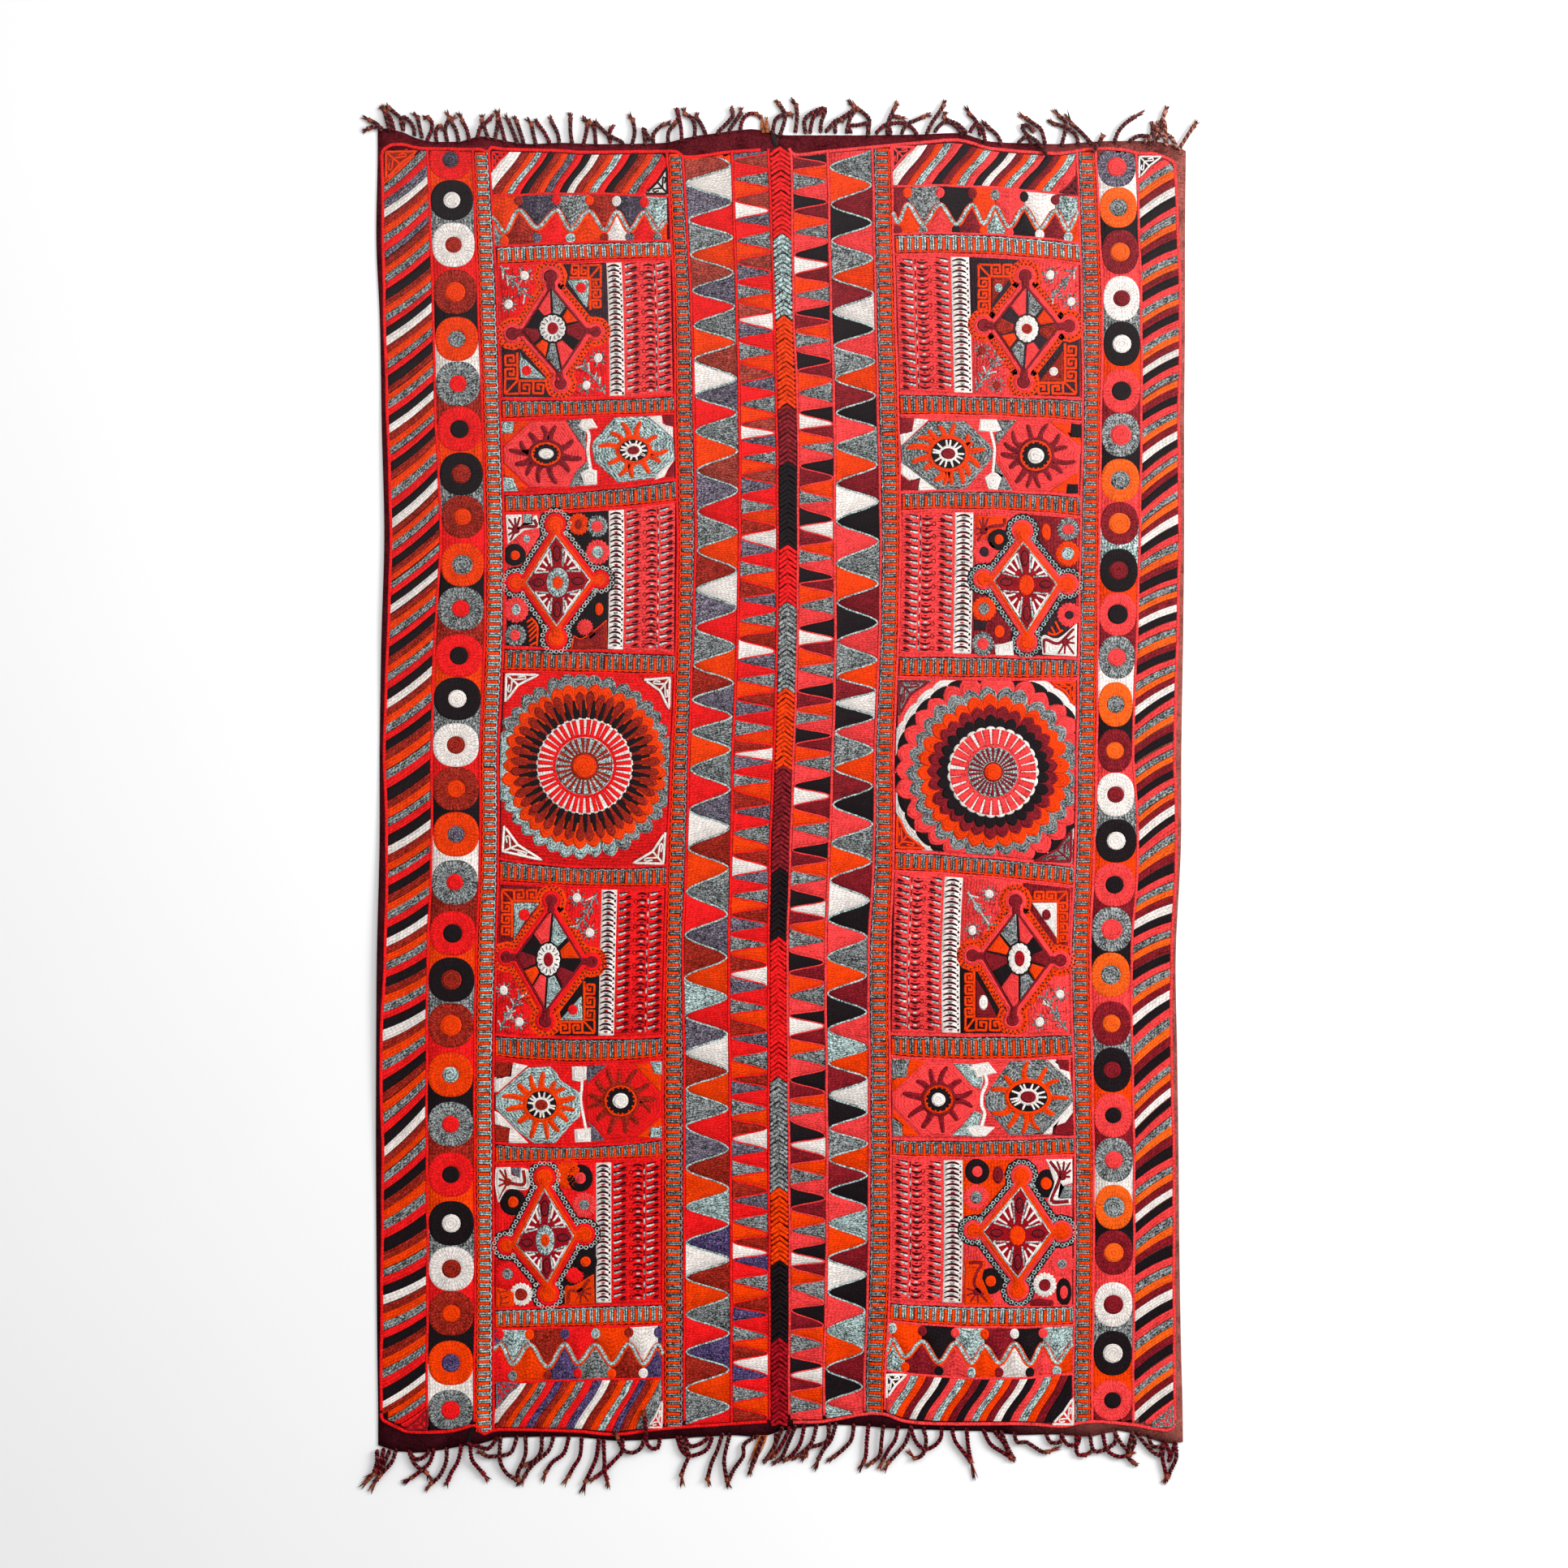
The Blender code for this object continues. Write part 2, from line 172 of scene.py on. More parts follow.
class YarnWork:
    def __init__(self):
        self.points, self.shades, self.edges, self.faces, self.rowMap = [], [], [], [], []
        self.used = 0

    def addPoints(self, places, heights, yarn, uneven, edges):
        # Points in metres, one colour and the painted shade at each one's edge. Gives their numbers, as a grid
        count = heights.size
        self.points.append(np.concatenate([places, heights[..., None]], axis=-1).reshape(-1, 3))
        self.shades.append(np.tile(shadeOf(yarn, uneven), (count, 1)))
        self.edges.append(edges)
        self.used += count
        return np.arange(self.used - count, self.used).reshape(heights.shape)

    def addQuads(self, index, rows, order):
        # Faces between the points of a grid, each with its corners in a given order
        near, far = slice(None, -1), slice(1, None)
        corners = [((near, near), (near, far), (far, far), (far, near))[k] for k in order]
        self.faces += paired(*(index[corner] for corner in corners)).reshape(-1, 4).tolist()
        self.rowMap.append(np.stack([rows[corner] for corner in corners], axis=-2).reshape(-1, 2))

    def addGrid(self, xy, lift, rows, yarn, closed=False, capped=False, edgeShade=1.0):
        # xy is lines x stations x 2 in chart steps, lift is metres over the cloth, rows is (u, v) in rows and
        # stitches; the last argument is the painted shade at the edge, where the stitches dip between shapes
        place = toMetres(xy)
        # painted shade: darkest at the pad's outline, where it meets the cloth, and none on its raised top
        dark = edgeShade * (1 - (lift - lift.min()) / max(np.ptp(lift), 1e-9)).ravel()
        index = self.addPoints(place, floorUnder(xy) + clothThick + lift, yarn, 0.05, dark)
        last = index[-1]
        if closed:
            index = np.concatenate([index, index[:, :1]], axis=1)
            place = np.concatenate([place, place[:, :1]], axis=1)
        sideA, sideB = place[1:, 1:] - place[:-1, :-1], place[:-1, 1:] - place[1:, :-1]
        upward = (sideA[..., 0] * sideB[..., 1] - sideA[..., 1] * sideB[..., 0]).sum() > 0
        turn = 1 if upward else -1
        self.addQuads(index, rows, (0, 1, 2, 3)[::turn])
        if capped:
            self.faces.append(last[::turn].tolist())
            self.rowMap.append(rows[-1, :len(last)][::turn])

    def addStrip(self, edgeA, edgeB, yarn, lift=0.0, rise=0.0011, rows=None, stitch=5.0, edgeShade=None):
        # Rows of stitches running along between two edges that have the same number of points
        edgeA, edgeB = np.asarray(edgeA, float), np.asarray(edgeB, float)
        middle = (edgeA + edgeB) / 2
        width = norm(edgeA - edgeB, axis=1).mean()
        rows = rows or max(1, round(width / stripRow))
        shoulder = 0.22 if rows == 1 else min(0.3, 0.8 / max(width, 0.1)) * 0.65
        shares = np.array([0, shoulder, 1 - shoulder, 1])
        bridged = floorUnder(middle) - (floorUnder(edgeA) + floorUnder(edgeB)) / 2
        if width > 7 and abs(bridged).max() > 0.0001:
            # stations across, so that a wide strip follows a fold
            inner = np.linspace(shoulder, 1 - shoulder, max(3, int(width / 5.5)) + 1)[1:-1]
            shares = np.sort(np.concatenate([shares, inner]))
        rounded = np.where((shares > 0) & (shares < 1), 1, 0)
        # a station close to each end, so that the end is rounded and closed
        inset = min(0.9, norm(middle[-1] - middle[0]) * 0.3 + 0.05)
        edgeA, edgeB = [withEnds(edge, inset) for edge in (edgeA, edgeB)]
        middle = (edgeA + edgeB) / 2
        full = np.ones(len(middle))
        full[0] = full[-1] = 0
        grid = edgeA[None] + (edgeB - edgeA)[None] * shares[:, None, None]
        steps = norm(np.diff(middle, axis=0), axis=1)
        along = np.concatenate([[0], np.cumsum(steps)]) / stitch + chance.random() * 9
        u = shares * rows + round(chance.random() * 40)
        rowsMap = np.stack(np.broadcast_arrays(u[:, None], along[None]), axis=-1)
        edgeShade = edgeShade if edgeShade is not None else 0.4 if rows == 1 else 1.0
        self.addGrid(grid, lift + rise * rounded[:, None] * full[None], rowsMap, yarn, edgeShade=edgeShade)

    def addBand(self, path, width, yarn, lift=0.0, rise=0.0011, rows=None, stitch=5.0, edgeShade=None):
        # Rows of stitches along a path, all of one width or with a width at each point
        path = np.asarray(path, float)
        side = headings(path)[1]
        half = np.broadcast_to(np.asarray(width, float) / 2, (len(path),))[:, None]
        self.addStrip(path - side * half, path + side * half, yarn, lift, rise, rows, stitch, edgeShade)

    def addPad(self, outline, yarn, lift=0.0, rise=0.0012, lay="round", centre=None, shoulder=0.9, stitch=5.0):
        # A filled shape. Its rows run round it, out from its middle ("spokes"), or at an angle in degrees
        outline = np.asarray(outline, float)
        centre = outline.mean(axis=0) if centre is None else np.asarray(centre, float)
        out = outline - centre
        reach = norm(out, axis=1).mean()
        edge = min(0.35, shoulder / max(reach, 0.1))
        shares = [1, 1 - edge * 0.65]
        if reach < 9:
            inner = [0.5, 0.08] if reach >= 3.2 else []
        else:
            # rings of points inward, so that a wide pad follows a fold
            inner = [*np.linspace(1, 0, int(reach / 5.5) + 2)[1:-1], 0.05]
        shares = np.array(shares + [share for share in inner if share < 1 - edge - 0.05])
        rounded = np.array([0] + [1] * (len(shares) - 1))
        grid = centre + out[None] * shares[:, None, None]
        loop = np.concatenate([outline, outline[:1]])
        around = runOf(loop)
        radius = norm(loop - centre, axis=1)
        if lay == "round":
            u = shares[:, None] * reach / padRow + 0 * around[None]
            v = around[None] * (0.4 + 0.6 * shares[:, None]) / stitch
        elif lay == "spokes":
            u = np.broadcast_to(around[None] / padRow * 0.75, (len(shares), len(loop)))
            v = shares[:, None] * radius[None] / stitch
        else:
            closedGrid = centre + (loop - centre)[None] * shares[:, None, None]
            turn = math.radians(lay)
            u = (closedGrid[..., 1] * math.cos(turn) - closedGrid[..., 0] * math.sin(turn)) / slantRow
            v = (closedGrid[..., 0] * math.cos(turn) + closedGrid[..., 1] * math.sin(turn)) / stitch
        rowsMap = np.stack(np.broadcast_arrays(u + 60, v + chance.random() * 9), axis=-1)
        self.addGrid(grid, lift + rise * rounded[:, None] + np.zeros(len(outline))[None], rowsMap, yarn, True, True,
                     0.45 if reach < 4 else 0.9)

    def addRing(self, centre, outer, inner, yarn, lift=0.0, rise=0.0012, sides=28, lay="spokes", shape=1.0,
                kept=None):
        # Stitching between two ovals, inner and outer given as (half width, half height)
        turn = np.linspace(0, 2 * math.pi, sides, endpoint=False)
        outer, inner = np.asarray(outer, float), np.asarray(inner, float)
        edges = [outer, outer - 0.9, inner + 0.6, inner]
        thick = (outer - inner).mean()
        if thick > 7:
            edges[2:2] = [outer + (inner - outer) * share for share in np.linspace(0, 1, int(thick / 5) + 2)[1:-1]]
        grid = np.stack([roundOutline(centre, edge, turn, shape) for edge in edges])
        grid = kept(grid) if kept else grid
        reach, size = outer.mean(), (len(edges), sides + 1)
        if lay == "spokes":
            u = np.broadcast_to(np.linspace(0, round(2 * math.pi * reach * 0.8 / padRow), sides + 1)[None], size)
            v = np.broadcast_to(np.array([edge.mean() for edge in edges])[:, None] / 5, size)
        else:
            u = np.broadcast_to(np.array([edge.mean() for edge in edges])[:, None] / padRow, size)
            v = np.broadcast_to(np.linspace(0, 2 * math.pi * reach / 5, sides + 1)[None], size)
        rounded = np.array([0] + [1] * (len(edges) - 2) + [0])
        lifts = lift + rise * rounded[:, None] + np.zeros(sides)[None]
        self.addGrid(grid, lifts, paired(u, v), yarn, True)

    def addTube(self, centre, radius, yarn, sides, height):
        # A round cord along centre, in chart steps. height is that of its middle over the floor, in metres
        centre = np.asarray(centre, float)
        side = headings(centre)[1]
        turn = np.linspace(0, 2 * math.pi, sides, endpoint=False)
        radius = np.broadcast_to(np.asarray(radius, float), (len(centre),))
        height = np.broadcast_to(np.asarray(height, float), (len(centre),))
        xy = toMetres(centre[:, None] + side[:, None] * (np.cos(turn)[None, :, None] * radius[:, None, None]))
        z = np.maximum(height[:, None] + np.sin(turn)[None] * radius[:, None] * chartStep, 0.0001)
        index = self.addPoints(xy, z, yarn, 0.12, np.zeros(z.size))
        index = np.concatenate([index, index[:, :1]], axis=1)
        u = np.linspace(0, 2, sides + 1)[None] + 0 * radius[:, None]
        run = runOf(centre)
        rows = paired(u, run[:, None] / 4 + 0 * u)
        self.addQuads(index, rows, (0, 3, 2, 1))
        self.faces += [index[0, :-1].tolist(), index[-1, :-1][::-1].tolist()]
        self.rowMap += [rows[0, :-1], rows[-1, :-1][::-1]]

    def finish(self, name, material, slotName):
        piece = addPiece(name, np.concatenate(self.points), self.faces, "rows", np.concatenate(self.rowMap),
                         material)
        shades = piece.data.color_attributes.new("yarn", "FLOAT_COLOR", "POINT")
        shades.data.foreach_set("color", np.concatenate(self.shades).astype(np.float32).ravel())
        # the painted shade along the pads' outlines, which the wool darkens the colour by
        edges = piece.data.attributes.new("edge", "FLOAT", "POINT")
        edges.data.foreach_set("value", np.concatenate(self.edges).astype(np.float32))
        triangles = sum(len(face) - 2 for face in self.faces)
        print(f"{name}: {triangles} triangles")
        return piece


def withEnds(edge, inset):
    first, last = edge[1] - edge[0], edge[-2] - edge[-1]
    near = edge[0] + first / max(norm(first), 1e-6) * inset
    far = edge[-1] + last / max(norm(last), 1e-6) * inset
    return np.concatenate([edge[:1], near[None], edge[1:-1], far[None], edge[-1:]])


def roundOutline(centre, halves, turn, shape=1.0):
    # An oval, or with shape under 1 one that is squarer
    c, s = np.cos(turn), np.sin(turn)
    bend = lambda value: np.sign(value) * abs(value) ** shape
    return paired(centre[0] + halves[0] * bend(c), centre[1] + halves[1] * bend(s))


def oval(centre, halfWidth, halfHeight=None, sides=18, uneven=0.0):
    turn = np.linspace(0, 2 * math.pi, sides, endpoint=False)
    outline = roundOutline(centre, (halfWidth, halfHeight or halfWidth), turn)
    if uneven:
        strays = wobble(6)
        stray = 1 + uneven * np.interp(turn, np.linspace(0, 2 * math.pi, 7), np.append(strays, strays[0]))
        outline = np.asarray(centre) + (outline - np.asarray(centre)) * stray[:, None]
    return outline


def curve(points, step=3.0):
    # A smooth line through the points, with a point about every step
    points = np.asarray(points, float)
    points = np.concatenate([2 * points[:1] - points[1:2], points, 2 * points[-1:] - points[-2:-1]])
    line = []
    for a, b, c, d in zip(points[:-3], points[1:-2], points[2:-1], points[3:]):
        count = max(1, int(round(norm(c - b) / step)))
        t = np.arange(count)[:, None] / count
        line.append(0.5 * (2 * b + (c - a) * t + (2 * a - 5 * b + 4 * c - d) * t ** 2
                           + (3 * b - a - 3 * c + d) * t ** 3))
    return np.concatenate(line + [points[-2][None]])


# The drawing's lines: columns run down the blanket, rows run across each panel

columnHeights = numbers("190 390 520 660 800 920 1040 1180 1300 1420 1560 1700")
columnLines = table("""
    leftCord 471 474 478 482 478 474 477 475 470 472 471 470;
    leftStripe 527 534 537 543 535 532 532 527 526 526 527 526;
    leftDisc 583 590 595 598 597 592 592 587 585 585 586 585;
    leftBlockA 603 613 617 621 620 614 614 611 608 608 608 608;
    leftBlockB 822 831 832 835 833 828 823 819 817 817 817 817;
    leftLadder 841 852 855 857 853 849 846 841 843 843 843 843;
    leftBig 902 908 911 911 908 903 901 898 899 900 901 901;
    leftSmall 947 954 957 958 957 954 949 947 947 947 948 948;
    rightBraid 975 978 983 983 982 978 974 970 971 972 973 972;
    rightSmall 1020 1024 1028 1028 1029 1026 1022 1017 1018 1019 1018 1015;
    rightBig 1075 1079 1082 1085 1083 1078 1077 1070 1071 1071 1070 1065;
    rightBlockA 1098 1103 1107 1109 1106 1101 1101 1096 1096 1097 1097 1090;
    rightBlockB 1327 1333 1334 1331 1329 1327 1325 1319 1322 1324 1324 1322;
    rightLadder 1350 1358 1356 1354 1352 1351 1348 1343 1345 1347 1347 1345;
    rightDisc 1400 1406 1406 1404 1400 1396 1402 1394 1395 1397 1397 1396;
    rightCord 1447 1454 1452 1453 1450 1447 1449 1443 1443 1446 1446 1447""")

# Where each row of a panel ends, as y at its left, middle and right
rowLines = {
    "left": table("""
        top 187 185 187; stripes 242 239 243; wave 304 299 297; ladder1 327 322 319; keys1 492 492 487;
        ladder2 517 513 510; suns1 609 604 591; ladder3 632 628 618; flower1 798 802 806; ladder4 827 829 832;
        wheel 1058 1068 1066; ladder5 1086 1092 1093; keys2 1275 1279 1277; ladder6 1302 1309 1303;
        suns2 1408 1412 1403; ladder7 1434 1430 1426; flower2 1613 1609 1606; ladder8 1637 1635 1632;
        wave2 1704 1700 1698; stripes2 1762 1764 1761"""),
    "right": table("""
        top 176 181 188; stripes 230 231 243; wave 289 289 300; ladder1 314 315 325; keys1 485 488 492;
        ladder2 512 513 520; suns1 607 605 612; ladder3 630 629 637; flower1 808 809 812; ladder4 834 836 836;
        wheel 1048 1056 1067; ladder5 1073 1080 1092; keys2 1274 1276 1274; ladder6 1301 1306 1301;
        suns2 1403 1404 1400; ladder7 1424 1426 1423; flower2 1604 1609 1608; ladder8 1627 1635 1632;
        wave2 1688 1698 1692; stripes2 1743 1755 1757"""),
}


def smoothed(at, places, values):
    # Reads a table along a smooth line through its points
    at, places, values = np.asarray(at, float), np.asarray(places, float), np.asarray(values, float)
    slopes = np.gradient(values, places)
    k = np.clip(np.searchsorted(places, at) - 1, 0, len(places) - 2)
    span = places[k + 1] - places[k]
    t = np.clip((at - places[k]) / span, 0, 1)
    return (values[k] * (1 + 2 * t) * (1 - t) ** 2 + slopes[k] * span * t * (1 - t) ** 2
            + values[k + 1] * t ** 2 * (3 - 2 * t) + slopes[k + 1] * span * t ** 2 * (t - 1))


def lineX(name, y):
    return smoothed(y, columnHeights, columnLines[name])


def rowY(side, name, share):
    left, middle, right = rowLines[side][name]
    share = np.asarray(share, float)
    return (left * (1 - share) * (1 - 2 * share) + middle * 4 * share * (1 - share)
            + right * share * (2 * share - 1))


def inBlock(side, above, below, share, depth):
    # A place inside a block: share of the way across, and depth of the way down
    y = rowY(side, above, share) * (1 - depth) + rowY(side, below, share) * depth
    leftX, rightX = lineX(side + "BlockA", y), lineX(side + "BlockB", y)
    return paired(leftX * (1 - share) + rightX * share, y)


# Outer columns: slanting stripes and rings

stripeWork = {
    # y of each dark stripe's lower edge at the left and the right, and 1 where a white one follows it
    "left": """210,150,0 259,216,1 321,273,0 371,328,0 416,372,1 477,431,0 525,480,1 582,535,0 641,588,1 701,650,0
        746,698,1 811,765,0 863,818,1 926,885,0 988,950,0 1043,1008,1 1104,1070,0 1156,1124,1 1217,1191,0
        1269,1242,1 1347,1305,0 1414,1360,1 1480,1438,0 1543,1511,0 1596,1571,1 1663,1632,0 1726,1688,1 1775,1742,0""",
    "right": """219,189,0 283,253,1 329,306,0 374,350,0 420,394,0 476,449,1 521,497,0 584,550,1 631,593,0 686,657,1
        732,711,0 785,764,1 833,811,0 895,858,1 942,913,0 988,957,0 1048,1011,1 1100,1075,0 1156,1135,1 1209,1184,0
        1278,1240,1 1342,1301,0 1405,1361,1 1456,1425,0 1521,1484,1 1572,1547,0 1643,1611,1 1703,1666,0 1764,1722,1
        1812,1772,0""",
    "colours": {"left": ("rust", "orange", "grey", "scarlet", "black"),
                "right": ("coral", "grey", "marigold", "maroon", "black")},
}

ringWork = {
    # y of the middle, ring, dot, and the wool that shows below
    "left": """197 scarlet dusk orange; 247 black white grey; 302 white rust scarlet; 360 rust orange black;
        418 orange grey white; 473 grey scarlet rust; 529 scarlet black orange; 584 black rust grey;
        637 rust orange scarlet; 696 orange grey black; 750 grey scarlet rust; 808 scarlet black orange;
        861 black white grey; 918 white rust scarlet; 972 rust orange black; 1028 orange slate white;
        1087 grey scarlet rust; 1150 scarlet black orange; 1207 black rust grey; 1263 rust orange scarlet;
        1324 orange aqua black; 1385 grey scarlet rust; 1447 scarlet black orange; 1507 black white grey;
        1563 white rust scarlet; 1618 rust orange black; 1679 orange violet white; 1737 grey scarlet black""",
    "right": """206 slate coral white; 256 orange grey black; 311 maroon orange coral; 368 white maroon grey;
        424 black white orange; 482 coral black maroon; 536 grey coral black; 592 orange grey coral;
        645 maroon orange aqua; 703 black maroon orange; 757 coral black maroon; 810 grey coral white;
        868 orange grey black; 925 maroon orange coral; 979 white maroon grey; 1036 black white orange;
        1090 coral black maroon; 1145 grey coral black; 1201 orange grey coral; 1261 maroon orange grey;
        1318 black maroon orange; 1374 coral black maroon; 1429 grey coral white; 1487 orange grey black;
        1543 maroon orange coral; 1607 white maroon grey; 1667 black white orange; 1725 coral black maroon""",
    # the largest ring, the dot, where the column ends, and the gap that counts past its first and last ring
    "halfRing": 27.6, "halfDot": 12, "end": 1790, "endGap": 50,
}

# Where the stitched field ends, as x, y along the blanket's two ends
fieldEnds = {
    "top": spots("""470,192 475,183 484,178.5 500,179 517,183 560,184 592,185 601,188 606,182 619,184 690,186
        720,188 807,187 834,188 842,194 861,193 896,188 937,185 955,182 972,183 980,191 1019,187 1092,180 1136,176
        1181,173 1215,183 1236,185 1271,188 1307,189 1343,184 1379,184 1402,189 1423,190 1441,197 1452,207"""),
    "bottom": spots("""466,1742 473,1750 489,1758 507,1764 555,1763 585,1755 596,1766 617,1761 708,1763 758,1767
        815,1760 901,1754 945,1751 977,1752 1014,1751 1064,1742 1091,1742 1117,1751 1162,1754 1262,1754 1307,1757
        1341,1751 1395,1755 1420,1760 1437,1762 1450,1756"""),
}


def fieldEnd(end, x):
    return np.interp(x, *fieldEnds[end].T)


def insideField(points, inset=2.6):
    x = points[..., 0]
    y = np.clip(points[..., 1], fieldEnd("top", x) + inset, fieldEnd("bottom", x) - inset)
    return paired(x, y)


def sewStripes(work, side):
    leftLine, rightLine = ("leftCord", "leftStripe") if side == "left" else ("rightDisc", "rightCord")
    edges = []
    marks = spots(stripeWork[side])
    for (leftA, rightA, white), (leftB, rightB, whiteNext) in zip(marks[:-1], marks[1:]):
        names = list(stripeWork["colours"][side])
        if side == "left" and white:
            names.insert(0, "white")
        if side == "right" and whiteNext:
            names.insert(4, "white")
        if side == "left" and (leftB < 330 or leftB > 1760):
            names[-1] = "slate" if leftB < 330 else "scarlet"
        sizes = np.array([1.2 if name in ("white", "black") else 1.0 for name in names])
        shares = np.append(0, np.cumsum(sizes) / sizes.sum())
        for name, a, b in zip(names, shares[:-1], shares[1:]):
            edges.append((name, leftA + (leftB - leftA) * a, rightA + (rightB - rightA) * a,
                          leftA + (leftB - leftA) * b, rightA + (rightB - rightA) * b))
    share = np.linspace(0, 1, 8)
    for name, leftA, rightA, leftB, rightB in edges:
        lines = []
        for leftY, rightY in ((leftA, rightA), (leftB, rightB)):
            bow = 2.2 * np.sin(share * math.pi) * hand[side] + 0.5 * wobble()
            y = leftY + (rightY - leftY) * share + bow
            x = lineX(leftLine, y) * (1 - share) + lineX(rightLine, y) * share
            lines.append(paired(x, np.clip(y, fieldEnd("top", x) + 3, fieldEnd("bottom", x) - 3)))
        keep = abs(lines[1][:, 1] - lines[0][:, 1]) > 1.5
        if keep.sum() > 2:
            work.addStrip(lines[0][keep], lines[1][keep], name, lift=0.0002)


def sewRings(work, side):
    leftLine, rightLine = ("leftStripe", "leftDisc") if side == "left" else ("rightLadder", "rightDisc")
    rings = [entry.split() for entry in entriesOf(ringWork[side])]
    heights = [float(entry[0]) for entry in rings] + [ringWork["end"]]
    for place, (_, ring, dot, below) in enumerate(rings):
        y, lower = heights[place:place + 2]
        ys = np.linspace(y, lower, 7)
        a = paired(lineX(leftLine, ys), ys)
        b = paired(lineX(rightLine, ys), ys)
        for line in (a, b):
            line[:, 1] = np.clip(line[:, 1], fieldEnd("top", line[:, 0]) + 2, fieldEnd("bottom", line[:, 0]) - 3)
        work.addStrip(a, b, below, lift=0.0001, rise=0.0009)
        gapAbove = y - heights[place - 1] if place else ringWork["endGap"]
        gapBelow = lower - y if place + 1 < len(rings) else ringWork["endGap"]
        halfWidth = (lineX(rightLine, y) - lineX(leftLine, y)) / 2 - 1.2
        halfHeight = min(ringWork["halfRing"], gapAbove / 2, gapBelow / 2) + 0.3
        middle = ((lineX(rightLine, y) + lineX(leftLine, y)) / 2, y)
        dotHalf = ringWork["halfDot"] * (1 + 0.06 * wobble())
        if side == "right":
            ring, dot = ring.replace("orange", "marigold"), dot.replace("orange", "marigold")
        work.addRing(middle, (halfWidth, halfHeight), (dotHalf - 1.5, dotHalf - 1.8), ring, lift=0.0005, rise=0.0012,
                     sides=36, shape=0.88, kept=insideField)
        work.addPad(oval(middle, dotHalf, dotHalf * 0.97, sides=16), dot, lift=0.0006, rise=0.0014)


# Zigzag columns: teeth that point right and left in turn, outlined by a cord

zigzagWork = {
    "leftBig": {
        "lines": ("leftLadder", "leftBig"), "cord": "aqua", "cordWidth": 2.4, "point": 0.1, "first": "right",
        # number of a tooth, counted from 0, and y of its point; the teeth's wools come in groups
        "points": """-1,178 0,203 4,293 8,379 12,466 16,555 20,655 24,750 28,842 32,923 34,972 38,1070 42,1180
            46,1274 50,1365 54,1464 58,1552 62,1642 66,1733 67,1757""",
        "A": "rust slate scarlet grey orange", "B": "rust white slate scarlet grey orange",
        "C": "grey scarlet slate white rust orange", "D": "grey scarlet slate rust orange",
        "E": "aqua scarlet slate white rust orange", "F": "grey scarlet", "groups": "BABABACDEDEDF",
        "ends": "orange scarlet",
    },
    "rightBig": {
        "lines": ("rightSmall", "rightBig"), "cord": "aqua", "cordWidth": 2.4, "point": 0.1, "first": "left",
        "points": """-1,184 0,206 4,297 8,384 12,467 16,551 20,642 24,744 28,833 32,902 36,993 40,1085 44,1179
            48,1268 52,1350 56,1428 60,1508 64,1592 68,1686 70,1728 71,1745""",
        "A": "grey orange maroon black coral", "B": "grey orange maroon white black coral",
        "C": "aqua orange maroon white black coral", "D": "aqua orange maroon black coral aqua",
        "groups": "ABABABABACACD",
        "ends": "coral coral",
    },
    # in the narrow columns y of each point is listed
    "leftSmall": {
        "lines": ("leftBig", "leftSmall"), "cord": "scarlet", "cordWidth": 1.9, "point": -0.25, "first": "right",
        "S": "slate rust", "A": "scarlet grey orange rust slate", "B": "scarlet grey orange rust white slate",
        "groups": "SBABABABABABABABAABABABA", "ends": "slate scarlet",
        "tips": """188 199 210 221 233 247 260 272 282 297 310 323 337 348 360 371 384 394 409 419 435 446 461 474
            485 498 512 523 534 543 554 564 575 586 599 612 625 636 650 662 679 689 703 712 729 739 751 765 775 786
            803 814 828 837 850 861 874 885 897 910 920 929 939 951 963 971 989 1000 1013 1026 1045 1053 1070 1081
            1093 1103 1116 1127 1140 1151 1164 1174 1189 1200 1216 1228 1242 1251 1270 1279 1293 1304 1321 1329 1341
            1351 1366 1377 1389 1403 1417 1427 1442 1451 1467 1479 1493 1504 1521 1529 1544 1552 1568 1577 1594 1608
            1620 1630 1647 1654 1667 1678 1696 1704 1718 1730 1746 1757""",
    },
    "rightSmall": {
        "lines": ("rightBraid", "rightSmall"), "cord": "coral", "cordWidth": 1.9, "point": -0.25, "first": "left",
        "A": "black maroon orange grey coral", "B": "black white maroon orange grey coral",
        "groups": "AABAABABABAABABABABABAB", "ends": "coral coral",
        "tips": """192 203 211 224 237 249 261 273 287 297 315 326 340 351 365 374 386 397 408 420 431 445 458 468
            485 499 508 523 530 543 550 563 574 589 602 617 623 641 650 666 675 689 696 712 720 732 747 760 774 788
            796 814 824 839 851 864 875 884 895 906 918 929 940 954 968 981 994 1011 1020 1036 1047 1060 1070 1083
            1093 1109 1120 1132 1141 1160 1170 1186 1199 1211 1227 1243 1251 1264 1278 1290 1301 1316 1330 1347 1355
            1368 1378 1400 1410 1427 1436 1451 1461 1476 1489 1504 1516 1529 1541 1554 1560 1575 1585 1605 1613 1633
            1640 1656 1670 1682 1694 1707 1716 1733 1744""",
    },
}


